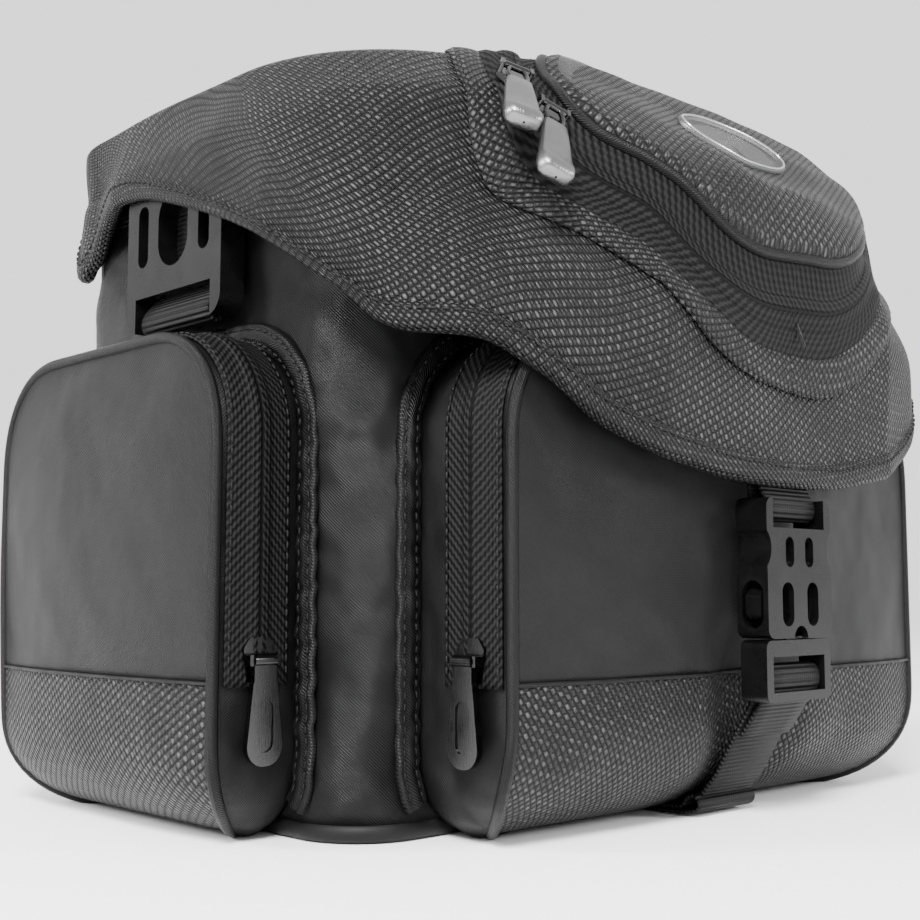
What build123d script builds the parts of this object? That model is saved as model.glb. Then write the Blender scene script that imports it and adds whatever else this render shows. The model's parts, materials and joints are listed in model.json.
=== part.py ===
from build123d import *
import os
from math import cos, radians, sin

# Soft camera bag, millimetres, +Z up, front towards -Y.
# The origin is the centre of the underside of the body, on the surface it stands on.

# body box
BODY_W = 249.0
BODY_D = 160.0
BODY_R = 23.0
BASE_T = 6.0
RIM_Z = 200.0
SKIN_T = 3.5
PAD_T = 6.0
BOARD_T = 2.0
RIM_T = 3.0
DIVIDER_X = 38.5
DIVIDER_T = 8.0
DIVIDER_Z = 165.0

# pockets on the two sides and the front
POCKET_LOW = 2.0
POCKET_TOP = 140.0
POCKET_TOP_R = 28.0
POCKET_LOW_R = 14.0
POCKET_WALL = 2.5
SEAM_Z = 44.0
TAPE_W = 20.5
TAPE_T = 0.8
FLANGE_W = 8.0
FLANGE_T = 1.2
PIPING_T = 1.8
PIPING_H = 3.5
SIDE_HALF = 62.0
SIDE_Y = 5.0
SIDE_DEPTH = 29.0
SIDE_UNDER_R = 13.0
FRONT_HALF = 100.7
FRONT_DEPTH = 38.0
FRONT_UNDER_R = 30.0

# lid
LID_T = 3.5
LINING_T = 1.0
LID_BACK = 84.0
LID_BACK_R = 12.0
LID_SECTIONS = [
    # height, half width, front edge, front corner radius, back edge
    (60.0, 142.0, -136.5, 50.0, LID_BACK),
    (150.0, 142.0, -136.5, 50.0, LID_BACK),
    (172.0, 142.0, -129.0, 56.0, LID_BACK),
    (204.0, 141.0, -109.5, 62.0, LID_BACK),
    (224.0, 131.0, -94.0, 62.0, 80.0),
    (233.0, 115.0, -78.0, 54.0, 62.0),
    (239.5, 95.0, -62.0, 42.0, 40.0),
    (243.0, 74.0, -46.0, 30.0, 16.0),
]
LID_TILT = 45.0
HINGE_Y = 82.5
HINGE_Z = 204.0
HINGE_R = 2.4
HEM_H = 9.0
HEM_T = 0.8

# front buckle and strap
WEB_W = 25.0
WEB_T = 1.4
BUCKLE_Y = -133.5
BAR_R = 1.7
BAR_GAP = 0.3
FEMALE_BAR_Z = 92.3
FEMALE_LOW = 54.5
FEMALE_W = 34.0
FEMALE_D = 10.8
MALE_BAR_Z = 44.0
MALE_LOW = 36.0
MALE_D = 9.0
PRONG_X = 9.6
PRONG_Z = 56.0
TAB_OUTER_Y = -131.9
ANCHOR_Y = -108.0
ANCHOR_Z = 4.6
ANCHOR_R = 2.0

# side buckles
SIDE_WEB_W = 38.0
SIDE_BUCKLE_Y = -4.0
SIDE_BUCKLE_W = 54.0
SIDE_BUCKLE_T = 8.4
SIDE_BUCKLE_X = 127.0
SIDE_BUCKLE_LOW = 150.0
SIDE_BUCKLE_TOP = 199.0
SIDE_BAR_Z = 152.4
SIDE_BAR_R = 1.8

# zip sliders and pullers
PIN_R = 1.0
PIN_H = 4.2
EAR_X = 4.4
EYE_IN = 1.15
EYE_OUT = 1.7
EYE_HALF = 3.55
POCKET_SLIDER_Z = 50.0
POCKET_SLIDER = (10.4, 12.0)
POCKET_PULL = (12.5, 28.0)
LID_SLIDER = (8.4, 10.0)
LID_PULL = (9.0, 25.0)
LID_PULL_HANG = (-0.445, -0.471, -0.762)
LID_SLIDERS = [
    # name, height, direction round the rounded corner of the lid, turn along the teeth
    ("lid_slider_upper", 211.0, 74.6, 24.5),
    ("lid_slider_lower", 199.0, 79.8, 52.0),
]

WALL_PLANES = {
    "left": Plane((-BODY_W / 2, SIDE_Y, 0), x_dir=(0, -1, 0), z_dir=(-1, 0, 0)),
    "right": Plane((BODY_W / 2, SIDE_Y, 0), x_dir=(0, 1, 0), z_dir=(1, 0, 0)),
    "front": Plane((0, -BODY_D / 2, 0), x_dir=(1, 0, 0), z_dir=(0, -1, 0)),
}
POCKETS = {
    # half width, depth, radius under the outer edge
    "left": (SIDE_HALF, SIDE_DEPTH, SIDE_UNDER_R),
    "right": (SIDE_HALF, SIDE_DEPTH, SIDE_UNDER_R),
    "front": (FRONT_HALF, FRONT_DEPTH, FRONT_UNDER_R),
}

os.makedirs("parts", exist_ok=True)


def save(part, name):
    """Label one piece and write it as its own file."""
    part.label = name
    export_step(part, f"parts/{name}.step")


def upright_box(half_w, half_d, radius, low, high):
    """Upright box about the origin with rounded vertical corners."""
    with BuildPart() as box:
        with BuildSketch(Plane.XY.offset(low)):
            RectangleRounded(2 * half_w, 2 * half_d, radius)
        extrude(amount=high - low)
    return box.part


def pocket_face(half_w, inset=0.0):
    """Upright pocket outline about its foot, as a flat sketch."""
    w, low, top = half_w - inset, POCKET_LOW + inset, POCKET_TOP - inset
    low_r, top_r = POCKET_LOW_R - inset, POCKET_TOP_R - inset
    with BuildSketch() as face:
        with BuildLine():
            FilletPolyline(
                (-w, low),
                (w, low),
                (w, top),
                (-w, top),
                radius=[low_r, low_r, top_r, top_r],
                close=True,
            )
        make_face()
    return face.sketch


def pocket_ring(half_w, grow, cut_low):
    """Strip of a given width round the outside of a pocket outline, cut away below a height."""
    wide, tight = pocket_face(half_w, -grow), pocket_face(half_w)
    with BuildSketch() as ring:
        add(wide)
        add(tight, mode=Mode.SUBTRACT)
        with Locations((0, cut_low - 50)):
            Rectangle(2 * half_w + 60, 100, mode=Mode.SUBTRACT)
    return ring.sketch


def side_section(plane):
    """Upright plane square to a wall: x points out of the wall, y points up."""
    return Plane(plane.origin, x_dir=plane.z_dir, z_dir=-plane.x_dir)


def pocket_form(plane, half_w, depth, under_r, inset=0.0):
    """Pocket block that stands out of a wall and curves in under its outer edge."""
    reach = depth - inset
    face = pocket_face(half_w, inset)
    with BuildPart() as form:
        with BuildSketch(plane):
            add(face)
        extrude(amount=reach)
        with BuildSketch(side_section(plane)) as profile:
            with Locations((reach / 2, (POCKET_LOW + POCKET_TOP) / 2)):
                Rectangle(reach, POCKET_TOP - POCKET_LOW - 2 * inset)
            outer = profile.vertices().group_by(Axis.X)[-1].sort_by(Axis.Y)
            fillet(outer[0], under_r - inset)
            fillet(outer[1], max(6.0 - inset, 1.0))
        extrude(amount=half_w + 1, both=True, mode=Mode.INTERSECT)
    return form.part


def slab(plane, half_w, depth, low, high):
    """Plain block against a wall between two heights, used to split a pocket at its seam."""
    with BuildPart() as block:
        with BuildSketch(plane.offset(-1)):
            with Locations((0, (low + high) / 2)):
                Rectangle(2 * half_w, high - low)
        extrude(amount=depth)
    return block.part


def lid_section(half_w, front, front_r, back, inset):
    """Plan outline of the lid at one height, as a flat sketch."""
    w, f, b = half_w - inset, front + inset, back - inset
    f_r, b_r = front_r - inset, LID_BACK_R - inset
    with BuildSketch() as section:
        with BuildLine():
            FilletPolyline((-w, f), (w, f), (w, b), (-w, b), radius=[f_r, f_r, b_r, b_r], close=True)
        make_face()
    return section.sketch


def lid_form(inset):
    """Domed lid block that runs on below its hem, shrunk by an inset."""
    sections = []
    for z, half_w, front, front_r, back in LID_SECTIONS:
        drop = inset if z > RIM_Z else 0.0
        sections.append((z - drop, lid_section(half_w, front, front_r, back, inset)))
    with BuildPart() as form:
        for z, section in sections:
            with BuildSketch(Plane.XY.offset(z)):
                add(section)
        loft(ruled=True)
    return form.part


def hem_waste(rise):
    """Everything under the lid's hem line, raised by a distance."""
    with BuildPart() as waste:
        with BuildSketch(Plane.YZ):
            with BuildLine():
                Polyline(
                    (100, 40),
                    (100, 205 + HINGE_R + 1 + rise),
                    (78, 205 + HINGE_R + 1 + rise),
                    (78, 186 + rise),
                    (68, 176 + rise),
                    (42, 193 + rise),
                    (20, 196 + rise),
                    (-2, 195 + rise),
                    (-28, 187 + rise),
                    (-55, 176 + rise),
                    (-85, 154 + rise),
                    (-104, 137 + rise),
                    (-104, 40),
                    close=True,
                )
            make_face()
        extrude(amount=160, both=True)
        with BuildSketch(Plane.XZ.offset(103.9)):
            with BuildLine():
                Polyline(
                    (-150, 40),
                    (-150, 140 + rise),
                    (-122, 137 + rise),
                    (-109, 128 + rise),
                    (-90, 116 + rise),
                    (-64, 107 + rise),
                    (-27, 99 + rise),
                    (0, 97 + rise),
                    (27, 99 + rise),
                    (64, 107 + rise),
                    (90, 116 + rise),
                    (109, 128 + rise),
                    (122, 137 + rise),
                    (150, 140 + rise),
                    (150, 40),
                    close=True,
                )
            make_face()
        extrude(amount=60)
    return waste.part


def lid_pocket_prism(grow):
    """Prism through the front slope of the lid, in the outline of the lid pocket, grown outwards."""
    tilt = radians(LID_TILT)
    slope = Plane((0, 0, 0), x_dir=(1, 0, 0), z_dir=(0, -sin(tilt), cos(tilt)))
    with BuildPart() as prism:
        with BuildSketch(slope.offset(100)):
            with BuildLine():
                FilletPolyline(
                    (-28, 22),
                    (28, 22),
                    (77, 60),
                    (71, 97),
                    (-71, 97),
                    (-77, 60),
                    radius=[46, 46, 20, 27, 27, 20],
                    close=True,
                )
            make_face()
            if grow:
                offset(amount=grow)
        extrude(amount=200)
    return prism.part


def surface_plane(solid, point, heading, hang):
    """Plane on a solid where a level line from a point leaves it, with -y as near a direction as it can be."""
    spot, normal = max(
        solid.find_intersection_points(Axis(point, heading)),
        key=lambda hit: (hit[0] - Vector(point)).dot(Vector(heading)),
    )
    if normal.dot(Vector(heading)) < 0:
        normal = -normal
    down = Vector(hang) - normal * normal.dot(Vector(hang))
    return Plane(spot, x_dir=normal.cross(down).normalized(), z_dir=normal)


def turned(plane, degrees):
    """The same plane turned about its own normal."""
    turn = radians(degrees)
    return Plane(plane.origin, x_dir=plane.x_dir * cos(turn) + plane.y_dir * sin(turn), z_dir=plane.z_dir)


def make_slider(name, plane, width, length, turn):
    """Zip slider on a tape: a low body turned along the teeth, with a pin for the puller's eye."""
    body_plane = turned(plane, turn)
    with BuildPart() as slider:
        with BuildSketch(body_plane.offset(0.3)) as foot:
            with BuildLine():
                Polyline(
                    (-0.36 * width, -length / 2),
                    (0.36 * width, -length / 2),
                    (width / 2, length / 4),
                    (0.3 * width, length / 2),
                    (-0.3 * width, length / 2),
                    (-width / 2, length / 4),
                    close=True,
                )
            make_face()
            fillet(foot.vertices(), 0.8)
        extrude(amount=2.0)
        with BuildSketch(plane.offset(2.0)):
            with Locations((-EAR_X, 0), (EAR_X, 0)):
                RectangleRounded(1.2, 3.0, 0.4)
        extrude(amount=PIN_H + 1.0 - 2.0)
        with BuildSketch(side_of(plane)):
            with Locations((0, PIN_H)):
                Circle(PIN_R)
        extrude(amount=EAR_X, both=True)
    save(slider.part, name)


def side_of(plane):
    """Plane square to a slider's pin: x runs down the puller, y off the tape."""
    return Plane(plane.origin, x_dir=-plane.y_dir, z_dir=-plane.x_dir)


def make_puller(name, plane, width, reach):
    """Puller that hangs from a slider's pin: an eye, a neck, and a drop-shaped tab with a dished oval."""
    with BuildPart() as puller:
        with BuildSketch(side_of(plane)):
            with Locations((0, PIN_H)):
                Circle(EYE_OUT)
        extrude(amount=EYE_HALF, both=True)
        with BuildSketch(plane.offset(PIN_H - 1.0)):
            with Locations((0, -3.6)):
                Rectangle(2 * EYE_HALF, 7.0)
            with BuildLine():
                FilletPolyline(
                    (-0.3 * width, -5.4),
                    (0.3 * width, -5.4),
                    (width / 2, -reach),
                    (-width / 2, -reach),
                    radius=[1.2, 1.2, 0.42 * width, 0.42 * width],
                    close=True,
                )
            make_face()
        extrude(amount=2.0)
        with BuildSketch(side_of(plane)):
            with Locations((0, PIN_H)):
                Circle(EYE_IN)
        extrude(amount=EYE_HALF, both=True, mode=Mode.SUBTRACT)
        with BuildSketch(plane.offset(PIN_H + 0.5)):
            with Locations((0, -0.62 * reach)):
                SlotOverall(0.5 * reach, 0.42 * width, rotation=90)
        extrude(amount=1.0, mode=Mode.SUBTRACT)
    save(puller.part, name)


# body: base, outer walls, padding, stiffener and dividers
half_w, half_d = BODY_W / 2, BODY_D / 2
with BuildPart() as base_panel:
    add(upright_box(half_w, half_d, BODY_R, 0, BASE_T))
    fillet(base_panel.faces().sort_by(Axis.Z)[0].edges(), 1.5)
save(base_panel.part, "base_panel")

with BuildPart() as body_shell:
    add(upright_box(half_w, half_d, BODY_R, BASE_T, RIM_Z))
    add(upright_box(half_w - SKIN_T, half_d - SKIN_T, BODY_R - SKIN_T, BASE_T, RIM_Z), mode=Mode.SUBTRACT)
save(body_shell.part, "body_shell")

liner_w, liner_d, liner_r = half_w - SKIN_T, half_d - SKIN_T, BODY_R - SKIN_T
cell_w, cell_d, cell_r = liner_w - PAD_T, liner_d - PAD_T, liner_r - PAD_T
board_top = BASE_T + BOARD_T
floor_z = board_top + PAD_T
with BuildPart() as base_board:
    add(upright_box(liner_w, liner_d, liner_r, BASE_T, board_top))
save(base_board.part, "base_board")

with BuildPart() as padded_liner:
    add(upright_box(liner_w, liner_d, liner_r, board_top, RIM_Z))
    add(upright_box(cell_w, cell_d, cell_r, floor_z, RIM_Z), mode=Mode.SUBTRACT)
save(padded_liner.part, "padded_liner")

for name, side in (("divider_left", -1), ("divider_right", 1)):
    with BuildPart() as divider:
        with BuildSketch(Plane.YZ.offset(side * DIVIDER_X)) as outline:
            with Locations((0, (floor_z + DIVIDER_Z) / 2)):
                Rectangle(2 * cell_d, DIVIDER_Z - floor_z)
            fillet(outline.vertices().group_by(Axis.Y)[-1], 12)
        extrude(amount=DIVIDER_T / 2, both=True)
    save(divider.part, name)

with BuildPart() as rim_binding:
    add(upright_box(half_w, half_d, BODY_R, RIM_Z, RIM_Z + RIM_T))
    add(upright_box(cell_w, cell_d, cell_r, RIM_Z, RIM_Z + RIM_T), mode=Mode.SUBTRACT)
save(rim_binding.part, "rim_binding")

with BuildPart() as hinge_welt:
    with BuildSketch(Plane.YZ) as welt:
        with Locations((HINGE_Y, HINGE_Z)):
            Circle(HINGE_R)
        with Locations((HINGE_Y - 1.0, HINGE_Z - 8)):
            Rectangle(2.0, 16)
        with Locations((half_d - 10, RIM_Z)):
            Rectangle(20, 40, mode=Mode.SUBTRACT)
    extrude(amount=half_w - BODY_R, both=True)
save(hinge_welt.part, "hinge_welt")

# pockets
for side, (half, depth, under_r) in POCKETS.items():
    plane = WALL_PLANES[side]
    outside = pocket_form(plane, half, depth, under_r)
    hollow = pocket_form(plane, half, depth, under_r, POCKET_WALL)
    upper = slab(plane, half + 20, depth + 20, SEAM_Z, POCKET_TOP + 40)
    lower = slab(plane, half + 20, depth + 20, -40, SEAM_Z)
    for name, waste in (("shell", lower), ("boot", upper)):
        with BuildPart() as pocket:
            add(outside)
            add(hollow, mode=Mode.SUBTRACT)
            add(waste, mode=Mode.SUBTRACT)
        save(pocket.part, f"{side}_pocket_{name}")

    strips = [
        # piece, growth, lowest point, distance from the wall, width
        ("flange", FLANGE_W, BASE_T + 2, 0.0, FLANGE_T),
        ("zip_tape", TAPE_T, SEAM_Z, depth - PIPING_H - TAPE_W, TAPE_W),
    ]
    for name, grow, lowest, away, width in strips:
        ring = pocket_ring(half, grow, lowest)
        with BuildPart() as strip:
            with BuildSketch(plane.offset(away)):
                add(ring)
            extrude(amount=width)
        save(strip.part, f"{side}_pocket_{name}")

    ring = pocket_ring(half, PIPING_T, -20)
    with BuildPart() as piping:
        with BuildSketch(plane.offset(depth - PIPING_H)):
            add(ring)
        extrude(amount=PIPING_H)
        with BuildSketch(side_section(plane)) as profile:
            with Locations((depth / 2, (POCKET_LOW + POCKET_TOP) / 2)):
                Rectangle(depth, POCKET_TOP - POCKET_LOW + 2 * PIPING_T)
            fillet(profile.vertices().group_by(Axis.X)[-1].sort_by(Axis.Y)[0], under_r)
        extrude(amount=half + 5, both=True, mode=Mode.INTERSECT)
    save(piping.part, f"{side}_pocket_piping")

# lid
lid_outer, lid_mid, lid_inner = lid_form(0), lid_form(LID_T), lid_form(LID_T + LINING_T)
under_hem = hem_waste(0)
with BuildPart() as lid_shell:
    add(lid_outer)
    add(lid_mid, mode=Mode.SUBTRACT)
    add(under_hem, mode=Mode.SUBTRACT)
save(lid_shell.part, "lid_shell")

with BuildPart() as lid_lining:
    add(lid_mid)
    add(lid_inner, mode=Mode.SUBTRACT)
    add(hem_waste(4), mode=Mode.SUBTRACT)
save(lid_lining.part, "lid_lining")

hem_strip_low, hem_strip_high = lid_form(-HEM_T), hem_waste(HEM_H)
with BuildPart() as lid_hem_binding:
    add(hem_strip_low)
    add(lid_outer, mode=Mode.SUBTRACT)
    add(hem_strip_high, mode=Mode.INTERSECT)
    add(under_hem, mode=Mode.SUBTRACT)
save(lid_hem_binding.part, "lid_hem_binding")

LID_POCKET = [
    # piece, how far it stands off the lid, inner growth, outer growth
    ("lid_pocket_panel", 7.0, None, 0.0),
    ("lid_pocket_piping", 5.0, 0.0, 3.5),
    ("lid_pocket_zip_tape", 2.0, 3.5, 20.0),
    ("lid_pocket_flange", 1.2, 20.0, 27.0),
]
for name, height, inner, outer in LID_POCKET:
    raised = lid_form(-height)
    prism = lid_pocket_prism(outer)
    with BuildPart() as layer:
        add(raised)
        add(lid_outer, mode=Mode.SUBTRACT)
        add(prism, mode=Mode.INTERSECT)
        if inner is not None:
            add(lid_pocket_prism(inner), mode=Mode.SUBTRACT)
    save(layer.part, name)


tape_mid_side = SIDE_DEPTH - PIPING_H - TAPE_W / 2
tape_mid_front = FRONT_DEPTH - PIPING_H - TAPE_W / 2

# zip sliders and pullers on the pockets
gusset_y = SIDE_Y - SIDE_HALF - TAPE_T
POCKET_SLIDERS = {
    "left": Plane((-half_w - tape_mid_side, gusset_y, POCKET_SLIDER_Z), x_dir=(1, 0, 0), z_dir=(0, -1, 0)),
    "right": Plane((half_w + tape_mid_side, gusset_y, POCKET_SLIDER_Z), x_dir=(1, 0, 0), z_dir=(0, -1, 0)),
    "front": Plane(
        (-FRONT_HALF - TAPE_T, -half_d - tape_mid_front, POCKET_SLIDER_Z), x_dir=(0, -1, 0), z_dir=(-1, 0, 0)
    ),
}
for side, plane in POCKET_SLIDERS.items():
    make_slider(f"{side}_pocket_slider", plane, *POCKET_SLIDER, 0)
    make_puller(f"{side}_pocket_puller", plane, *POCKET_PULL)

# the pair of sliders that meet at the left end of the lid pocket's zip
tape_top = lid_form(-2.0)
for name, z, angle, turn in LID_SLIDERS:
    heading = (-cos(radians(angle)), -sin(radians(angle)), 0)
    plane = surface_plane(tape_top, (-72, -42, z), heading, LID_PULL_HANG)
    make_slider(name, plane, *LID_SLIDER, turn)
    make_puller(name.replace("slider", "puller"), plane, *LID_PULL)

# badge on the lid pocket
panel_top = lid_form(-7.0)
badge_plane = surface_plane(panel_top, (0, -40, 209), (0, -1, 0), (0, 0, -1))
with BuildPart() as badge:
    with BuildSketch(badge_plane.offset(-0.5)):
        Ellipse(29, 12.5)
    extrude(amount=3.5)
    with BuildSketch(badge_plane.offset(2.2)):
        Ellipse(25.5, 9.5)
    extrude(amount=1.0, mode=Mode.SUBTRACT)
    add(panel_top, mode=Mode.SUBTRACT)
save(badge.part, "badge")

# web tab sewn inside the lid, looped through the front buckle
with BuildPart() as buckle_tab:
    with BuildSketch(Plane.YZ):
        with BuildLine():
            Polyline(
                (TAB_OUTER_Y, 124),
                (TAB_OUTER_Y, 97.4),
                (BUCKLE_Y - 1.6, FEMALE_BAR_Z + 2.6),
                (BUCKLE_Y + 1.8, FEMALE_BAR_Z + 1.4),
                (TAB_OUTER_Y + 2 * WEB_T, 98),
                (TAB_OUTER_Y + 2 * WEB_T, 124),
                close=True,
            )
        make_face()
        with Locations((BUCKLE_Y, FEMALE_BAR_Z)):
            Circle(BAR_R + BAR_GAP + WEB_T)
            Circle(BAR_R + BAR_GAP, mode=Mode.SUBTRACT)
    extrude(amount=WEB_W / 2, both=True)
save(buckle_tab.part, "buckle_tab")

# upper half of the front buckle
arm_x = FEMALE_W / 2 - 3.4
front_plane = Plane((0, BUCKLE_Y - FEMALE_D / 2, 0), x_dir=(1, 0, 0), z_dir=(0, -1, 0))
mid_plane = Plane((0, BUCKLE_Y, 0), x_dir=(1, 0, 0), z_dir=(0, -1, 0))
with BuildPart() as buckle_female:
    with BuildSketch(mid_plane) as outline:
        with Locations((0, (FEMALE_LOW + 96) / 2)):
            RectangleRounded(FEMALE_W, 96 - FEMALE_LOW, 3)
        with Locations((-22.0, 81), (22.0, 81)):
            Circle(7.2, mode=Mode.SUBTRACT)
    extrude(amount=FEMALE_D / 2, both=True)
    with BuildSketch(Plane.XY.offset(FEMALE_LOW - 1)):
        with Locations((0, BUCKLE_Y)):
            Rectangle(2 * arm_x + 1.4, 6.6)
    extrude(amount=22.5, mode=Mode.SUBTRACT)
    with BuildSketch(Plane.YZ.offset(-FEMALE_W / 2 - 1)):
        with Locations((BUCKLE_Y, 64.5)):
            SlotOverall(14, 7.4, rotation=90)
    extrude(amount=FEMALE_W + 2, mode=Mode.SUBTRACT)
    with BuildSketch(front_plane.offset(1)):
        with Locations((-6.6, 64.5), (6.6, 64.5)):
            SlotOverall(13, 6.0, rotation=90)
        with Locations((-5.2, 80), (5.2, 80)):
            SlotOverall(9, 4.4, rotation=90)
        with Locations((0, FEMALE_LOW)):
            Circle(3.6)
    extrude(amount=-3.4, mode=Mode.SUBTRACT)
    with BuildSketch(mid_plane):
        with Locations((0, 91.8)):
            Rectangle(2 * arm_x, 9.4)
    extrude(amount=FEMALE_D, both=True, mode=Mode.SUBTRACT)
    with BuildSketch(Plane.YZ):
        with Locations((BUCKLE_Y, FEMALE_BAR_Z)):
            Circle(BAR_R)
    extrude(amount=arm_x + 0.5, both=True)
save(buckle_female.part, "buckle_female")

# lower half of the front buckle, with its two prongs
with BuildPart() as buckle_male:
    with BuildSketch(mid_plane):
        with Locations((0, (MALE_LOW + FEMALE_LOW - 0.5) / 2)):
            RectangleRounded(FEMALE_W, FEMALE_LOW - 0.5 - MALE_LOW, 2.5)
        with Locations((0, 44.0)):
            Rectangle(2 * arm_x, 10.4, mode=Mode.SUBTRACT)
    extrude(amount=MALE_D / 2, both=True)
    with BuildSketch(Plane.XY.offset(MALE_LOW - 1)):
        with Locations((0, BUCKLE_Y + MALE_D / 2)):
            Rectangle(2 * arm_x, MALE_D + 2)
    extrude(amount=5.0, mode=Mode.SUBTRACT)
    with BuildSketch(mid_plane):
        with Locations((0, 62.0)):
            RectangleRounded(6.0, 19.0, 2.0)
    extrude(amount=2.0, both=True)
    with BuildSketch(Plane.YZ):
        with Locations((BUCKLE_Y, MALE_BAR_Z)):
            Circle(BAR_R)
    extrude(amount=arm_x + 0.5, both=True)
save(buckle_male.part, "buckle_male")

for name, side in (("prong_left", -1), ("prong_right", 1)):
    with BuildPart() as prong:
        with BuildSketch(mid_plane):
            with BuildLine():
                FilletPolyline(
                    (side * 7.6, PRONG_Z - 1.2),
                    (side * 11.2, PRONG_Z - 1.2),
                    (side * 13.0, 59.5),
                    (side * 16.8, 60.5),
                    (side * 16.8, 67.0),
                    (side * 13.2, 70.5),
                    (side * 10.2, 72.0),
                    radius=[0.8, 1.5, 1.5, 2.5, 1.0, 0.8, 0.8],
                    close=True,
                )
            make_face()
        extrude(amount=2.6, both=True)
    save(prong.part, name)

# strap from the lower buckle down to the anchor tab under the front pocket
with BuildPart() as strap_web:
    with BuildSketch(Plane.YZ):
        with BuildLine():
            Polyline(
                (BUCKLE_Y - 0.4, MALE_BAR_Z - 3.2),
                (BUCKLE_Y + 1.5, 38.6),
                (ANCHOR_Y - 9.0, 13),
                (ANCHOR_Y - 1.9, ANCHOR_Z + 1.0),
                (ANCHOR_Y + 0.6, ANCHOR_Z + 1.8),
                (ANCHOR_Y - 6.4, 14),
                (BUCKLE_Y + 4.2, 38.6),
                (BUCKLE_Y + 3.0, MALE_BAR_Z - 1.4),
                close=True,
            )
        make_face()
        with Locations((BUCKLE_Y, MALE_BAR_Z)):
            Circle(BAR_R + BAR_GAP + WEB_T)
            Circle(BAR_R + BAR_GAP, mode=Mode.SUBTRACT)
        with Locations((ANCHOR_Y, ANCHOR_Z)):
            Circle(ANCHOR_R)
    extrude(amount=WEB_W / 2, both=True)
save(strap_web.part, "strap_web")

with BuildPart() as strap_anchor_tab:
    with BuildSketch(Plane.XY.offset(0.3)):
        with Locations((0, (ANCHOR_Y + 2.8 - half_d) / 2)):
            Rectangle(WEB_W + 5, ANCHOR_Y + 2.8 + half_d, align=Align.CENTER)
    extrude(amount=1.5)
save(strap_anchor_tab.part, "strap_anchor_tab")

# side webs and side buckles
for side, sign in (("left", -1), ("right", 1)):
    bar_x = sign * (SIDE_BUCKLE_X + SIDE_BUCKLE_T / 2)
    wall_x = sign * half_w
    with BuildPart() as side_web:
        with BuildSketch(Plane.XZ.offset(-SIDE_BUCKLE_Y)):
            with BuildLine():
                Polyline(
                    (wall_x, 148.4),
                    (wall_x + sign * 1.5, 148.4),
                    (bar_x, SIDE_BAR_Z - 3.4),
                    (bar_x - sign * 1.8, SIDE_BAR_Z - 2.1),
                    (wall_x + sign * 1.5, 151.4),
                    (wall_x + sign * 1.5, 196),
                    (wall_x, 196),
                    close=True,
                )
            make_face()
            with Locations((bar_x, SIDE_BAR_Z)):
                Circle(SIDE_BAR_R + BAR_GAP + WEB_T)
                Circle(SIDE_BAR_R + BAR_GAP, mode=Mode.SUBTRACT)
        extrude(amount=SIDE_WEB_W / 2, both=True)
    save(side_web.part, f"side_web_{side}")

    face = Plane((bar_x, SIDE_BUCKLE_Y, 0), x_dir=(0, 1, 0), z_dir=(1, 0, 0))
    with BuildPart() as side_buckle:
        with BuildSketch(face):
            with Locations((0, (SIDE_BUCKLE_LOW + SIDE_BUCKLE_TOP) / 2)):
                RectangleRounded(SIDE_BUCKLE_W, SIDE_BUCKLE_TOP - SIDE_BUCKLE_LOW, 7)
            with Locations((0, 153.6)):
                Rectangle(43, 15.0, mode=Mode.SUBTRACT)
            with Locations((0, 181)):
                SlotOverall(24, 17, rotation=90, mode=Mode.SUBTRACT)
            with Locations((-17.5, 181), (17.5, 181)):
                SlotOverall(20, 6, rotation=90, mode=Mode.SUBTRACT)
        extrude(amount=SIDE_BUCKLE_T / 2, both=True)
        with BuildSketch(Plane.XZ.offset(-SIDE_BUCKLE_Y)):
            with Locations((bar_x, SIDE_BAR_Z)):
                Circle(SIDE_BAR_R)
        extrude(amount=22.5, both=True)
    save(side_buckle.part, f"side_buckle_{side}")
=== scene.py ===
import json
import math

import bmesh
import bpy
import numpy as np
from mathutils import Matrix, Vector, noise
from mathutils.bvhtree import BVHTree


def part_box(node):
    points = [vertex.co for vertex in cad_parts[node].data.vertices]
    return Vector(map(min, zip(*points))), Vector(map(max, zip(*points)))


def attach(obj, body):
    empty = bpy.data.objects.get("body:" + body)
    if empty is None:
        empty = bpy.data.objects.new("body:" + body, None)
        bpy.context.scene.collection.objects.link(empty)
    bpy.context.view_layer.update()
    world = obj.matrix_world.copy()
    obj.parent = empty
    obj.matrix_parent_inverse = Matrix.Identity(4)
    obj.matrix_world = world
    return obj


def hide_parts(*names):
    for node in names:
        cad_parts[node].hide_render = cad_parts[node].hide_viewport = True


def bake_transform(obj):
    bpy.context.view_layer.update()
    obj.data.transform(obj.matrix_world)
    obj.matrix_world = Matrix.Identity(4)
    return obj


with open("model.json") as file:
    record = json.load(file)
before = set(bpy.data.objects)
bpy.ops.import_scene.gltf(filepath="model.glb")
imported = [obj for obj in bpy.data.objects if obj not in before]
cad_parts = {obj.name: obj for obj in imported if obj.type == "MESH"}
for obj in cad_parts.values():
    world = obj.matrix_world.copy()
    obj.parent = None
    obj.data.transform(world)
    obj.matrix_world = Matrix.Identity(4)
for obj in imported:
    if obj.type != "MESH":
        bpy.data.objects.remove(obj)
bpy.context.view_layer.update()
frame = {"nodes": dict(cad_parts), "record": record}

MM = 0.001

# ---------------------------------------------------------------- camera and light


CAMERA_PLACE = (-0.3527, -0.3637, 0.068)
CAMERA_AZIMUTH, CAMERA_PITCH = math.radians(43.4), math.radians(5.6)
CAMERA_LENS, CAMERA_SENSOR = 52.86, 36.0
WORLD_STRENGTH = 1.7
LIGHT_AIM = (0, 0, 0.12)
SOFTBOXES = [
    # name, place in metres, side in metres, watts
    ("key_light", (-0.9, -0.7, 1.0), 0.4, 66),
    ("side_light", (-1.1, 0.5, 0.6), 0.35, 22),
    ("front_light", (0.7, -1.1, 0.5), 0.3, 13),
]


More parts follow.
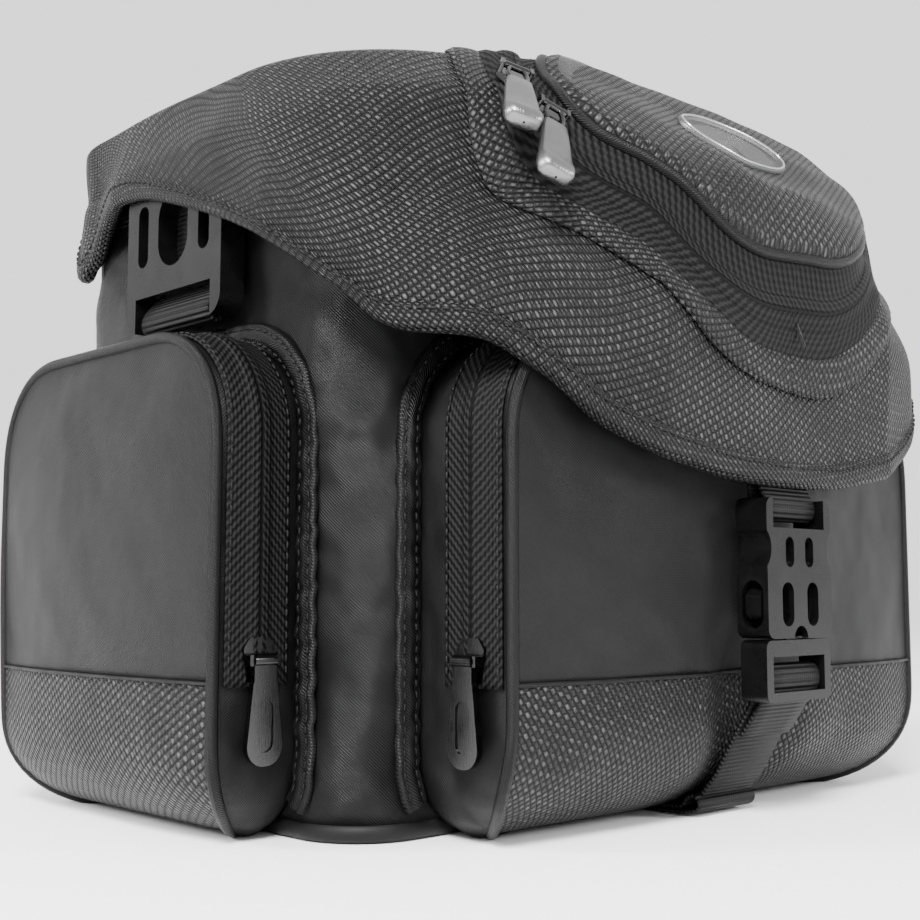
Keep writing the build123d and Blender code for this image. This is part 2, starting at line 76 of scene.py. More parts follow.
def add_camera():
    """Camera at the height of the lower third of the bag, looking slightly up at its left front corner."""
    level = math.cos(CAMERA_PITCH)
    forward = Vector(
        (math.sin(CAMERA_AZIMUTH) * level, math.cos(CAMERA_AZIMUTH) * level, math.sin(CAMERA_PITCH))
    )
    camera = bpy.data.objects.new("camera", bpy.data.cameras.new("camera"))
    camera.data.lens = CAMERA_LENS
    camera.data.sensor_width = CAMERA_SENSOR
    camera.data.clip_start = 0.01
    camera.location = CAMERA_PLACE
    camera.rotation_euler = forward.to_track_quat("-Z", "Y").to_euler()
    bpy.context.scene.collection.objects.link(camera)
    bpy.context.scene.camera = camera


def add_softbox(name, place, size, power):
    """Square soft light aimed at the middle of the bag."""
    light = bpy.data.objects.new(name, bpy.data.lights.new(name, "AREA"))
    light.data.size = size
    light.data.energy = power
    light.location = place
    light.rotation_euler = (Vector(LIGHT_AIM) - Vector(place)).to_track_quat("-Z", "Y").to_euler()
    bpy.context.scene.collection.objects.link(light)


def add_studio():
    """Pale room light and the soft boxes."""
    world = bpy.data.worlds.new("studio")
    world.use_nodes = True
    background = world.node_tree.nodes["Background"]
    background.inputs["Color"].default_value = (1.0, 1.0, 1.0, 1.0)
    background.inputs["Strength"].default_value = WORLD_STRENGTH
    bpy.context.scene.world = world
    for softbox in SOFTBOXES:
        add_softbox(*softbox)


# ---------------------------------------------------------------- materials


class Value:
    """A shader value that works in ordinary sums."""

    def __init__(self, tree, socket):
        self.tree = tree
        self.socket = socket

    def _math(self, operation, *others, clamp=False):
        node = self.tree.nodes.new("ShaderNodeMath")
        node.operation = operation
        node.use_clamp = clamp
        for slot, item in zip(node.inputs, (self, *others)):
            if isinstance(item, Value):
                self.tree.links.new(item.socket, slot)
            else:
                slot.default_value = item
        return Value(self.tree, node.outputs[0])

    def __add__(self, other):
        return self._math("ADD", other)

    __radd__ = __add__

    def __sub__(self, other):
        return self._math("SUBTRACT", other)

    def __rsub__(self, other):
        return self * -1.0 + other

    def __mul__(self, other):
        return self._math("MULTIPLY", other)

    __rmul__ = __mul__

    def __truediv__(self, other):
        return self._math("DIVIDE", other)

    def __pow__(self, other):
        return self._math("POWER", other)

    def __abs__(self):
        return self._math("ABSOLUTE")

    def sin(self):
        """Sine of the value in radians."""
        return self._math("SINE")

    def above(self, edge):
        """1 above the edge, 0 below it."""
        return self._math("GREATER_THAN", edge)

    def clamp(self):
        """Held between 0 and 1."""
        return self._math("ADD", 0.0, clamp=True)

    def step(self, low, high):
        """0 below low, 1 above high, smooth between."""
        t = ((self - low) / (high - low)).clamp()
        return t * t * (3.0 - 2.0 * t)


class Finish:
    """One procedural material under construction."""

    def __init__(self, name, **surface):
        self.material = bpy.data.materials.new(name)
        self.material.use_nodes = True
        self.tree = self.material.node_tree
        self.shader = self.tree.nodes["Principled BSDF"]
        for socket, value in surface.items():
            self.shader.inputs[socket.replace("_", " ")].default_value = value

    def node(self, kind, settings=None, **sockets):
        """Any node, with its settings made first and then its sockets filled or linked."""
        node = self.tree.nodes.new(kind)
        for key, value in (settings or {}).items():
            setattr(node, key, value)
        for key, value in sockets.items():
            slot = node.inputs[key.replace("_", " ")]
            if isinstance(value, Value):
                self.tree.links.new(value.socket, slot)
            else:
                slot.default_value = value
        return node

    def value(self, socket):
        """A node's output as a value."""
        return Value(self.tree, socket)

    def place(self, kind="UV"):
        """Surface coordinates as three values."""
        coordinates = self.node("ShaderNodeTexCoord").outputs[kind]
        parts = self.node("ShaderNodeSeparateXYZ", Vector=self.value(coordinates)).outputs
        return [self.value(parts[i]) for i in range(3)]

    def cloud(self, scale, detail=3.0):
        """Soft noise from 0 to 1."""
        coordinates = self.value(self.node("ShaderNodeTexCoord").outputs["Object"])
        noise_node = self.node("ShaderNodeTexNoise", Vector=coordinates, Scale=scale, Detail=detail)
        return self.value(noise_node.outputs["Fac"])

    def blend(self, factor, low, high):
        """Colour between two colours."""
        node = self.node("ShaderNodeMix", {"data_type": "RGBA"})
        self.tree.links.new(factor.socket, node.inputs[0])
        for slot, colour in ((node.inputs[6], low), (node.inputs[7], high)):
            if isinstance(colour, Value):
                self.tree.links.new(colour.socket, slot)
            else:
                slot.default_value = (*colour, 1.0)
        return Value(self.tree, node.outputs[2])

    def set(self, socket, value):
        """Feeds a shader socket."""
        self.tree.links.new(value.socket, self.shader.inputs[socket])

    def relief(self, height, depth_mm, strength=1.0):
        """Raises the surface by a height from 0 to 1."""
        bump = self.node("ShaderNodeBump", Height=height, Strength=strength, Distance=depth_mm * MM)
        self.set("Normal", self.value(bump.outputs["Normal"]))


def grey(level):
    """Near-neutral colour, a touch cool."""
    return (level, level, level * 1.02)


def wave(value, pitch_mm):
    """Ripple from 0 to 1 along a surface length."""
    return (value * (2 * math.pi / (pitch_mm * MM))).sin() * 0.5 + 0.5


def ballistic_cloth(name, yarn=0.05, ground=0.0002, pitch_mm=1.7):
    """Heavy basket weave on the bias: long round yarns whose glint is painted into their colour, the warp
    brighter, on a black ground of painted shade between them.
    """
    cloth = Finish(name, Specular_IOR_Level=0.16)
    u, v, _ = cloth.place()
    drift = cloth.cloud(70.0) - 0.5
    pitch = pitch_mm * MM
    across = ((u * 0.83 + v * 0.56) / pitch + drift * 0.15) * math.pi
    along = ((v * 0.83 - u * 0.56) / (pitch * 1.25) + drift * 0.15) * math.pi
    weave = across.sin() * along.sin()
    bead = abs(weave) ** 0.6
    warp = weave.above(0.0)
    tone = cloth.cloud(30.0) * 0.45 + cloth.cloud(700.0, 1.0) * 0.55
    # painted highlight: warp yarns coloured as glinting, weft yarns darker
    yarn_colour = cloth.blend(warp, grey(yarn * 0.16), grey(yarn))
    # random patches where the painted glint is dulled
    wear_and_glint_patches = cloth.blend(tone.step(0.38, 0.66), grey(yarn * 0.12), yarn_colour)
    # painted shade in the gaps between the beads, painted glint on their tops
    cloth.set("Base Color", cloth.blend(bead.step(0.3, 0.9), grey(ground), wear_and_glint_patches))
    cloth.set("Roughness", 0.6 - bead * 0.25)
    cloth.relief(bead * (0.7 + warp * 0.3), 0.9)
    return cloth.material


def smooth_nylon(name, tone=0.003, gloss=0.34, crease=1.0):
    """Fine twill nylon with a soft sheen and creases."""
    cloth = Finish(name, Specular_IOR_Level=0.13)
    u, v, _ = cloth.place()
    twill = wave(u + v, 0.9)
    fine = wave(u - v, 0.5)
    soft = cloth.cloud(30.0, 2.0)
    fold = cloth.cloud(52.0, 2.0)
    ridge = 1.0 - (abs(fold - 0.5) * 7.0).clamp()
    patch = cloth.cloud(14.0, 2.0)
    shade = (patch * 0.5 + twill * 0.5).clamp()
    cloth.set("Base Color", cloth.blend(shade, grey(tone * 0.55), grey(tone * 1.6)))
    cloth.set("Roughness", gloss + (soft - 0.5) * 0.25)
    cloth.relief(soft * (3.2 * crease) + ridge * (0.05 * crease) + twill * 0.03 + fine * 0.015, 3.4)
    return cloth.material


def zip_tape(name):
    """Herringbone tape with a closed coil down its middle, its raised yarns painted lighter and its centre
    groove painted in shade; u is measured from the middle.
    """
    tape = Finish(name, Roughness=0.6, Specular_IOR_Level=0.07)
    u, v, _ = tape.place()
    middle = abs(u)
    chevron = wave(v + middle, 2.5)
    rib = wave(u, 1.25)
    yarn = (chevron * 0.65 + rib * 0.35).clamp()
    # painted light and shade: raised yarns lighter, the hollows between them darker
    colour = tape.blend(yarn.step(0.25, 0.8), grey(0.0005), grey(0.008))
    groove = 1.0 - middle.step(0.25 * MM, 0.7 * MM)
    coil = 1.0 - middle.step(2.6 * MM, 3.4 * MM)
    # painted shade in the centre groove
    colour = tape.blend(groove, colour, grey(0.001))
    tape.set("Base Color", colour)
    tape.relief(yarn * 0.4 + coil * 0.6 - groove * 0.9, 0.8)
    return tape.material


def webbing(name, tone=0.006):
    """Ribbed belt webbing, ribs across the run, coloured with painted shade in the rib valleys, painted light
    on the rib tops and random wear.
    """
    belt = Finish(name, Roughness=0.5, Specular_IOR_Level=0.1)
    u, v, _ = belt.place()
    rib = wave(v, 1.5)
    cross = wave(u, 1.1)
    wear_and_glint_patches = belt.cloud(180.0, 2.0)
    height = (rib * 0.75 + cross * rib * 0.25).clamp()
    # painted shade: colour follows the rib height, dark in the valleys and light on the tops, with random
    # wear patches mixed in
    shade = (height * 0.7 + wear_and_glint_patches * 0.3).clamp()
    belt.set("Base Color", belt.blend(shade, grey(tone * 0.25), grey(tone * 1.5)))
    belt.relief(height, 0.45)
    return belt.material


def moulded_plastic(name, tone=0.002, rough=0.28):
    """Satin moulded plastic with a fine spark texture and lighter worn patches."""
    plastic = Finish(name, Specular_IOR_Level=0.2)
    grain = plastic.cloud(2600.0, 1.0)
    wear = plastic.cloud(120.0, 3.0)
    plastic.set("Base Color", plastic.blend(wear.step(0.35, 0.75), grey(tone * 0.8), grey(tone * 1.3)))
    plastic.set("Roughness", rough + (wear - 0.5) * 0.16)
    plastic.relief(grain, 0.06, 0.6)
    return plastic.material


def metal(name, tone, rough, brushed=0.0):
    """Plated metal with faint brushing and finger marks."""
    plate = Finish(name, Metallic=1.0)
    smudge = plate.cloud(160.0, 3.0)
    x, y, z = plate.place("Object")
    grain = plate.node("ShaderNodeCombineXYZ", X=x * 4000.0, Y=y * 4000.0, Z=z * 200.0)
    streaks = plate.node("ShaderNodeTexNoise", Vector=plate.value(grain.outputs[0]), Scale=1.0, Detail=1.0)
    lines = plate.value(streaks.outputs["Fac"])
    shade = (smudge * 0.6 + lines * 0.4).clamp()
    plate.set("Base Color", plate.blend(shade, grey(tone * 0.85), grey(tone * 1.1)))
    plate.set("Roughness", rough + (smudge - 0.5) * 0.15)
    plate.relief(lines, 0.02 + brushed, 0.5)
    return plate.material


def brushed_lining(name, tone=0.012):
    """Loop lining over foam: fuzzy, matt and faintly mottled."""
    pile = Finish(name, Roughness=0.9, Specular_IOR_Level=0.1, Sheen_Weight=0.05)
    fuzz = pile.cloud(900.0, 3.0)
    mottle = pile.cloud(40.0, 3.0)
    shade = (fuzz * 0.6 + mottle * 0.4).clamp()
    pile.set("Base Color", pile.blend(shade, grey(tone * 0.5), grey(tone * 1.4)))
    pile.relief(fuzz, 0.4)
    return pile.material


def thread(name, tone=0.012):
    """Twisted sewing thread."""
    strand = Finish(name, Roughness=0.55, Specular_IOR_Level=0.12)
    twist = strand.cloud(2200.0, 1.0)
    strand.set("Base Color", strand.blend(twist, grey(tone * 0.5), grey(tone * 1.5)))
    strand.relief(twist, 0.1)
    return strand.material


def studio_floor(name):
    """Plain pale floor."""
    floor = Finish(name, Roughness=0.8, Specular_IOR_Level=0.1)
    mottle = floor.cloud(3.0, 2.0)
    floor.set("Base Color", floor.blend(mottle, (0.93, 0.93, 0.93), (0.95, 0.95, 0.95)))
    return floor.material


# ---------------------------------------------------------------- mesh building


def rounded_rect(half_w, low, high, r_low, r_high, arc=10, wide=18, tall=22):
    """Closed outline with two corner radii, from the middle of its low side round to the start again."""

    def line(a, b, count):
        t = np.arange(count)[:, None] / count
        return np.array(a) * (1 - t) + np.array(b) * t

    def bend(cx, cy, radius, start):
        angle = np.radians(start + 90.0 * np.arange(arc) / arc)
        return np.stack([cx + radius * np.cos(angle), cy + radius * np.sin(angle)], 1)

    w_low, w_high = half_w - r_low, half_w - r_high
    runs = [
        line((0, low), (w_low, low), wide),
        bend(w_low, low + r_low, r_low, -90),
        line((half_w, low + r_low), (half_w, high - r_high), tall),
        bend(w_high, high - r_high, r_high, 0),
        line((w_high, high), (-w_high, high), 2 * wide),
        bend(-w_high, high - r_high, r_high, 90),
        line((-half_w, high - r_high), (-half_w, low + r_low), tall),
        bend(-w_low, low + r_low, r_low, 180),
        line((-w_low, low), (0, low), wide),
        [(0, low)],
    ]
    return np.vstack(runs)


def lengths(path):
    """Distance run along a path at each of its points."""
    return np.concatenate([[0.0], np.cumsum(np.linalg.norm(np.diff(path, axis=0), axis=1))])


def outward(path):
    """Unit normals pointing out of a closed flat outline that runs anticlockwise."""
    step = np.roll(path[:-1], -1, 0) - np.roll(path[:-1], 1, 0)
    normal = np.stack([step[:, 1], -step[:, 0]], 1)
    normal /= np.linalg.norm(normal, axis=1, keepdims=True) + 1e-9
    return np.vstack([normal, normal[:1]])


def grid_normals(points):
    """Unit normals of a grid of points."""
    du = np.gradient(points, axis=1)
    dv = np.gradient(points, axis=0)
    normal = np.cross(du, dv)
    return normal / (np.linalg.norm(normal, axis=2, keepdims=True) + 1e-9)


def crumple(points, size_mm, seed, stretch=(1.0, 1.0, 1.0)):
    """Smooth noise from about -1 to 1 at each point of a grid."""
    flat = points.reshape(-1, 3) * np.array(stretch) / size_mm + seed * 7.31
    return np.array([noise.noise(p) for p in flat]).reshape(points.shape[:-1])


def build(name, points, faces, material, body, replaces=(), uv=None, thick=0.0):
    """One piece of the bag from points in millimetres."""
    mesh = bpy.data.meshes.new(name)
    mesh.from_pydata((np.asarray(points).reshape(-1, 3) * MM).tolist(), [], faces)
    if uv is not None:
        flat = (np.asarray(uv).reshape(-1, 2) * MM).astype(np.float32)
        corners = np.zeros(len(mesh.loops), int)
        mesh.loops.foreach_get("vertex_index", corners)
        mesh.uv_layers.new(name="cloth").data.foreach_set("uv", flat[corners].ravel())
    joined = bmesh.new()
    joined.from_mesh(mesh)
    bmesh.ops.remove_doubles(joined, verts=joined.verts, dist=0.00002)
    joined.to_mesh(mesh)
    joined.free()
    mesh.polygons.foreach_set("use_smooth", [True] * len(mesh.polygons))
    mesh.materials.append(material)
    piece = bpy.data.objects.new(name, mesh)
    bpy.context.scene.collection.objects.link(piece)
    if thick:
        skin = piece.modifiers.new("cloth_thickness", "SOLIDIFY")
        skin.thickness = thick * MM
        skin.offset = -1.0
    if replaces:
        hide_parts(*replaces)
    if body:
        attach(piece, body)
    return piece


def quads(rows, cols, flip=False):
    """Faces of a grid."""
    faces = []
    for r in range(rows - 1):
        for c in range(cols - 1):
            a = r * cols + c
            face = (a, a + 1, a + cols + 1, a + cols)
            faces.append(face[::-1] if flip else face)
    return faces


def surface_uv(points):
    """Lengths measured over a grid itself, so that its weave keeps one size."""
    across = np.concatenate([[0.0], np.cumsum(np.linalg.norm(np.diff(points, axis=0), axis=2).mean(1))])
    middle = lengths(points[len(points) // 2])
    return np.stack(np.broadcast_arrays(across[:, None], middle[None, :]), 2)


def cloth(name, points, uv, material, body, slot, replaces=(), thick=1.2, flip=False):
    """A sheet of cloth from a grid of points."""
    rows, cols = points.shape[:2]
    return build(name, points, quads(rows, cols, flip), material, body, replaces, uv, thick)


def tube(name, path, radius, material, body, replaces=(), closed=True, sides=10):
    """Round cord along a path."""
    path = np.asarray(path, float)
    ahead = np.gradient(path, axis=0)
    if closed:
        ahead[0] = ahead[-1] = path[1] - path[-2]
    ahead /= np.linalg.norm(ahead, axis=1, keepdims=True) + 1e-9
    side = np.zeros_like(path)
    way = np.array((0.13, 0.21, 0.97))
    for i, step in enumerate(ahead):
        across = way - step * way.dot(step)
        side[i] = across / (np.linalg.norm(across) + 1e-9)
        way = side[i]
    other = np.cross(ahead, side)
    angle = np.linspace(0, 2 * math.pi, sides + 1)
    cos, sin = np.cos(angle)[None, :, None], np.sin(angle)[None, :, None]
    ring = cos * side[:, None, :] + sin * other[:, None, :]
    points = path[:, None, :] + ring * radius
    run = lengths(path)
    uv = np.stack(np.broadcast_arrays(angle[None, :] * radius, run[:, None]), 2)
    return build(name, points, quads(len(path), sides + 1), material, body, replaces, uv)


def stitches(name, path, facing, material, body, spacing=3.1, length=2.1, radius=0.34):
    """A row of separate stitches lying on a surface."""
    path, facing = np.asarray(path, float), np.asarray(facing, float)
    run = lengths(path)
    marks = np.arange(spacing, run[-1] - spacing, spacing)
    points, faces = [], []
    for mark in marks:
        a, b = (
            np.array([np.interp(mark + d, run, path[:, k]) for k in range(3)]) for d in (0.0, length)
        )
        up = np.array([np.interp(mark, run, facing[:, k]) for k in range(3)])
        up /= np.linalg.norm(up) + 1e-9
        ahead = (b - a) / (np.linalg.norm(b - a) + 1e-9)
        side = np.cross(up, ahead)
        first = len(points)
        for t, size in ((0.0, 0.35), (0.2, 0.95), (0.8, 0.95), (1.0, 0.35)):
            middle = a + (b - a) * t + up * (0.15 * radius - radius * (1 - size) * 0.8)
            for k in range(6):
                turn = k * math.pi / 3
                points.append(middle + (side * math.cos(turn) * 1.2 + up * math.sin(turn)) * radius * size)
        for r in range(3):
            for k in range(6):
                p, q = first + r * 6 + k, first + r * 6 + (k + 1) % 6
                faces.append((p, q, q + 6, p + 6))
        faces.append(tuple(range(first + 5, first - 1, -1)))
        faces.append(tuple(range(first + 18, first + 24)))
    return build(name, points, faces, material, body)


# ---------------------------------------------------------------- the bag's sizes, in millimetres

BODY_HALF_W, BODY_HALF_D, BODY_R = 124.5, 80.0, 23.0
BASE_T, RIM_Z = 6.0, 200.0
WALL_T = 9.5
FLOOR_Z = 14.0
DIVIDER_X = 38.5
POCKET_LOW, POCKET_TOP = 0.8, 140.0
POCKET_LOW_R, POCKET_TOP_R = 22.0, 28.0
SEAM_Z = 44.0
TAPE_W = 20.5
PIPE_GAP = 3.5
GUSSET_PUFF = 1.6
FLANGE_W = 8.4
UP = np.array([0.0, 0.0, 1.0])


class Pocket:
    """One zip pocket: where it stands on the bag, and the lines that its pieces are laid on."""

    def __init__(
        self, side, origin, along, out, half, depth, under, bulge, seed, dent=0.0, back=0, narrow=0.0
    ):
        self.side, self.seed = side, seed
        self.origin, self.along, self.out = (np.array(v, float) for v in (origin, along, out))
        self.half, self.depth, self.under, self.bulge = half, depth, under, bulge
        self.dent, self.back, self.narrow = dent, back, narrow
        self.outline = rounded_rect(
            half, POCKET_LOW, POCKET_TOP, POCKET_LOW_R, POCKET_TOP_R, arc=12, wide=22, tall=40
        )
        self.normal = outward(self.outline)
        self.run = lengths(self.outline)
        self.ring_out = self.normal[:, 0:1] * self.along + self.normal[:, 1:2] * UP

    def world(self, u, v, w):
        """Point in the bag from a place along the pocket, a height and a distance off the wall."""
        u, v, w = np.broadcast_arrays(u, v, w)
        taper = self.narrow * (u * self.back > 0) * np.clip((80 - v) / 80, 0, 1) ** 1.4
        u = u * (1 - taper)
        return self.origin + u[..., None] * self.along + v[..., None] * UP + w[..., None] * self.out

    def reach(self, v):
        """Depth of the gusset at a height: full above, rounded under at the foot."""
        drop = np.clip(POCKET_LOW + self.under - v, 0, self.under)
        return self.depth - self.under + np.sqrt(np.maximum(self.under**2 - drop**2, 0))

    def ring_at(self, grow, w):
        """The pocket's outline, grown by a distance, at a depth off the wall."""
        u = self.outline[:, 0] + self.normal[:, 0] * grow
        return self.world(u, self.outline[:, 1] + self.normal[:, 1] * grow, w)

    def gusset_at(self, t, lift=0.0):
        """Points round the gusset at a share of its depth, lifted off it."""
        puff = GUSSET_PUFF * math.sin(math.pi * min(max(t, 0.0), 1.0)) + lift
        return self.ring_at(puff, self.reach(self.outline[:, 1]) * t)

    def half_at(self, v):
        """Half width of the face at a height."""
        low_in = np.clip(POCKET_LOW + POCKET_LOW_R - v, 0, POCKET_LOW_R)
        high_in = np.clip(v - (POCKET_TOP - POCKET_TOP_R), 0, POCKET_TOP_R)
        return (
            self.half
            - POCKET_LOW_R + np.sqrt(POCKET_LOW_R**2 - low_in**2)
            - POCKET_TOP_R + np.sqrt(POCKET_TOP_R**2 - high_in**2)
        )

    def face(self, rows, lift):
        """Domed and softly creased face over some heights, with its cloth lengths."""
        x = np.sin(np.linspace(-math.pi / 2, math.pi / 2, 61))
        middle, half_h = (POCKET_LOW + POCKET_TOP) / 2, (POCKET_TOP - POCKET_LOW) / 2
        v = rows[:, None]
        dome = (1 - np.abs(x[None, :]) ** 2.6) * (1 - np.abs((v - middle) / half_h) ** 3.2)
        u = self.half_at(v) * x[None, :]
        dome = dome * (1 - self.dent * np.exp(-((u / 21) ** 4)) * np.clip((62 - v) / 20, 0, 1))
        base = self.world(u, v, self.reach(v))
        soft = crumple(base, 46, self.seed + 3) * 1.6 + crumple(base, 15, self.seed + 4) * 0.45
        w = self.reach(v) + self.bulge * dome + (soft + lift) * np.minimum(dome * 4, 1)
        rise = lengths(np.stack([self.reach(rows), rows], 1))[:, None]
        return self.world(u, v, w), np.stack([u, np.broadcast_to(rise, u.shape)], 2)


def make_pocket_gusset(pocket, looks):
    """Nylon wall all round the pocket, slightly puffed and tucked."""
    shares = np.linspace(0, 1, 15)
    points = np.stack([pocket.gusset_at(t) for t in shares])
    tuck = crumple(points, 26, pocket.seed, (1, 1, 0.6)) * 1.3
    tuck = tuck + crumple(points, 9, pocket.seed + 1, (1, 1, 0.35)) * 0.5
    edge = np.sin(math.pi * shares)[:, None]
    points = points + pocket.ring_out[None] * (tuck * edge)[..., None]
    uv = np.stack(np.broadcast_arrays(pocket.run[None, :], (shares * pocket.depth)[:, None]), 2)
    cloth(f"{pocket.side}_pocket_gusset", points, uv, looks["nylon"], "bag", "nylon", thick=1.0)


def make_pocket_face(pocket, looks):
    """Smooth upper face, woven boot below the seam, the seam itself and the piping round both."""
    side = pocket.side
    turn = np.linspace(0, math.pi / 2, 9)[:-1]
    rise = POCKET_LOW + pocket.under * (1 - np.cos(turn))
    rows_low = np.concatenate([rise, np.linspace(POCKET_LOW + pocket.under, SEAM_Z, 8)])
    rows_high = np.linspace(SEAM_Z, POCKET_TOP, 46)
    points, uv = pocket.face(rows_high, 0.0)
    shell, boot, piping = (f"{side}_pocket_{part}" for part in ("shell", "boot", "piping"))
    cloth(shell, points, uv, looks["face"], "bag", "nylon", [shell])
    seam = points[0] + pocket.out * 0.2
    points, uv = pocket.face(rows_low, 0.5)
    cloth(boot, points, uv, looks["ballistic"], "bag", "ballistic", [boot], 1.6)
    tube(f"{side}_pocket_seam", seam, 0.7, looks["nylon"], "bag", closed=False, sides=6)
    pipe = pocket.ring_at(0.4, pocket.reach(pocket.outline[:, 1]) - 0.6)
    for _ in range(6):
        pipe[1:-1] = 0.25 * pipe[:-2] + 0.5 * pipe[1:-1] + 0.25 * pipe[2:]
    tube(piping, pipe, 1.75, looks["piping"], "bag", [piping])


def make_pocket_tape(pocket, looks):
    """Zip tape from the seam on one side, over the top, to the seam on the other."""
    keep = pocket.outline[:, 1] >= SEAM_Z - 3
    low_w, high_w = pocket.depth - PIPE_GAP - TAPE_W, pocket.depth - PIPE_GAP
    across = np.linspace(low_w, high_w, 13)
    middle_w = (low_w + high_w) / 2
    rows = []
    for w in across:
        off = abs(w - middle_w)
        crown = 1.0 + 0.9 * math.exp(-((off / 2.6) ** 4)) - 0.5 * math.exp(-((off / 0.6) ** 2))
        rows.append(pocket.gusset_at(w / pocket.depth, crown)[keep])
    uv = np.stack(np.broadcast_arrays((across - middle_w)[:, None], pocket.run[keep][None, :]), 2)
    tape = f"{pocket.side}_pocket_zip_tape"
    cloth(tape, np.stack(rows), uv, looks["tape"], "bag", "zip", [tape], 0.8)
    for label, w in (("outer", high_w - 1.0), ("inner", low_w + 1.0)):
        row = pocket.gusset_at(w / pocket.depth, 1.3)[keep]
        name = f"{pocket.side}_pocket_{label}_tape_stitching"
        stitches(name, row, pocket.ring_out[keep], looks["thread"], "bag")


def make_pocket_flange(pocket, looks):
    """Flange on the bag's wall, puckered by two rows of stitching."""
    run = pocket.run
    keep = pocket.outline[:, 1] >= BASE_T + 4
    pucker = np.sin(run * 2 * math.pi / 8.7 + 2.0 * np.sin(run / 21.0)) * 0.5
    pucker = pucker + np.sin(run * 2 * math.pi / 5.1) * 0.2
    rows = []
    for k, share in enumerate(np.linspace(0, 1, 9)):
        height = 1.5 + 1.1 * math.sin(math.pi * share) + pucker * (0.5 if k in (2, 5, 6) else 1.0)
        height = height - (0.7 if k in (2, 6) else 0.0) - (1.1 if k == 8 else 0.0)
        rows.append(pocket.ring_at(FLANGE_W * share, height)[keep])
    points = np.stack(rows)
    uv = np.stack(np.broadcast_arrays(np.linspace(0, FLANGE_W, 9)[:, None], run[keep][None, :]), 2)
    flange = f"{pocket.side}_pocket_flange"
    cloth(flange, points, uv, looks["nylon"], "bag", "nylon", [flange], 1.2, True)
    facing = np.broadcast_to(pocket.out, points[0].shape)
    for label, k in (("inner", 2), ("outer", 6)):
        name = f"{pocket.side}_pocket_{label}_flange_stitching"
        stitches(name, points[k] + pocket.out * 0.35, facing, looks["thread"], "bag")


def make_pocket(pocket, looks):
    """Gusseted zip pocket and the flange that joins it to the bag."""
    make_pocket_gusset(pocket, looks)
    make_pocket_face(pocket, looks)
    make_pocket_tape(pocket, looks)
    make_pocket_flange(pocket, looks)


# ---------------------------------------------------------------- body, lining and base


def plan_ring(inset, z):
    """Level outline of the body drawn in by an inset."""
    r = max(BODY_R - inset, 4.0)
    flat = rounded_rect(
        BODY_HALF_W - inset, -BODY_HALF_D + inset, BODY_HALF_D - inset, r, r, 14, 34, 40
    )
    return np.column_stack([flat, np.full(len(flat), z)])


def stack(
    name, profile, material, replaces, thick=0.0, wobble=0.0, seed=1, flip=False, cap=False
):
    """Wall or slab made of level rings, each given by its inset and height."""
    rings = np.stack([plan_ring(inset, z) for inset, z in profile])
    run = lengths(rings[0])
    rise = lengths(np.array(profile, float))
    if wobble:
        way = grid_normals(rings)
        folds = crumple(rings, 34, seed, (1, 1, 0.9)) + 0.5 * crumple(rings, 14, seed + 1, (0.6, 0.6, 1.4))
        fade = np.minimum(np.minimum(rise, rise[-1] - rise) / 8.0, 1.0)[:, None]
        rings = rings + way * (folds * wobble * fade)[..., None]
    uv = np.stack(np.broadcast_arrays(run[None, :], rise[:, None]), 2)
    rows, cols = rings.shape[:2]
    faces = quads(rows, cols, flip)
    if cap:
        last = tuple(range((rows - 1) * cols, rows * cols - 1))
        faces.append(last[::-1] if flip else last)
    return build(name, rings, faces, material, "bag", replaces, uv, thick)


def make_body(looks):
    """The bag's box: coated base, nylon walls, bound rim, padded lining and dividers."""
    stack(
        "base_panel",
        [(60, 5.6), (6, 5.6), (1.2, 5.4), (0, 4.2), (0, 2.2), (1.0, 0.6), (3.0, 0.0), (60, 0.0)],
        looks["base"], ["base_panel"], cap=True, flip=True,
    )
    heights = np.linspace(BASE_T - 1, RIM_Z + 0.5, 60)
    belly = 1.2 * np.sin(np.pi * (heights - BASE_T) / (RIM_Z - BASE_T))
    stack(
        "body_shell",
        [(0.9 - b, z) for b, z in zip(belly, heights)],
        looks["nylon"], ["body_shell"], thick=2.2, wobble=2.4, seed=5,
    )
    stack(
        "rim_binding",
        [(0.2, 193), (-0.4, 198), (0.6, 202), (3.2, 203.4), (6.4, 203.4), (9.0, 202), (9.7, 198), (9.5, 193)],
        looks["binding"], ["rim_binding"],
    )
    inner = WALL_T
    profile = [(3.0, 199.0), (4.6, 200.0), (inner - 0.6, 199.0)]
    profile += [(inner + 0.8 * math.sin(t * math.pi * 3) ** 2, 198 - t * 176) for t in np.linspace(0, 1, 40)]
    profile += [(inner + 2, 17.5), (inner + 6, FLOOR_Z + 1.0)]
    profile += [(inner + 6 + k, FLOOR_Z + 1.0 + 0.8 * math.sin(k / 44 * math.pi)) for k in range(4, 44, 4)]
    hidden = ["padded_liner", "base_board"]
    lining = stack("padded_liner", profile, looks["lining"], hidden, cap=True)
    for name, sign in (("divider_left", -1), ("divider_right", 1)):
        make_divider(name, sign * DIVIDER_X, looks)


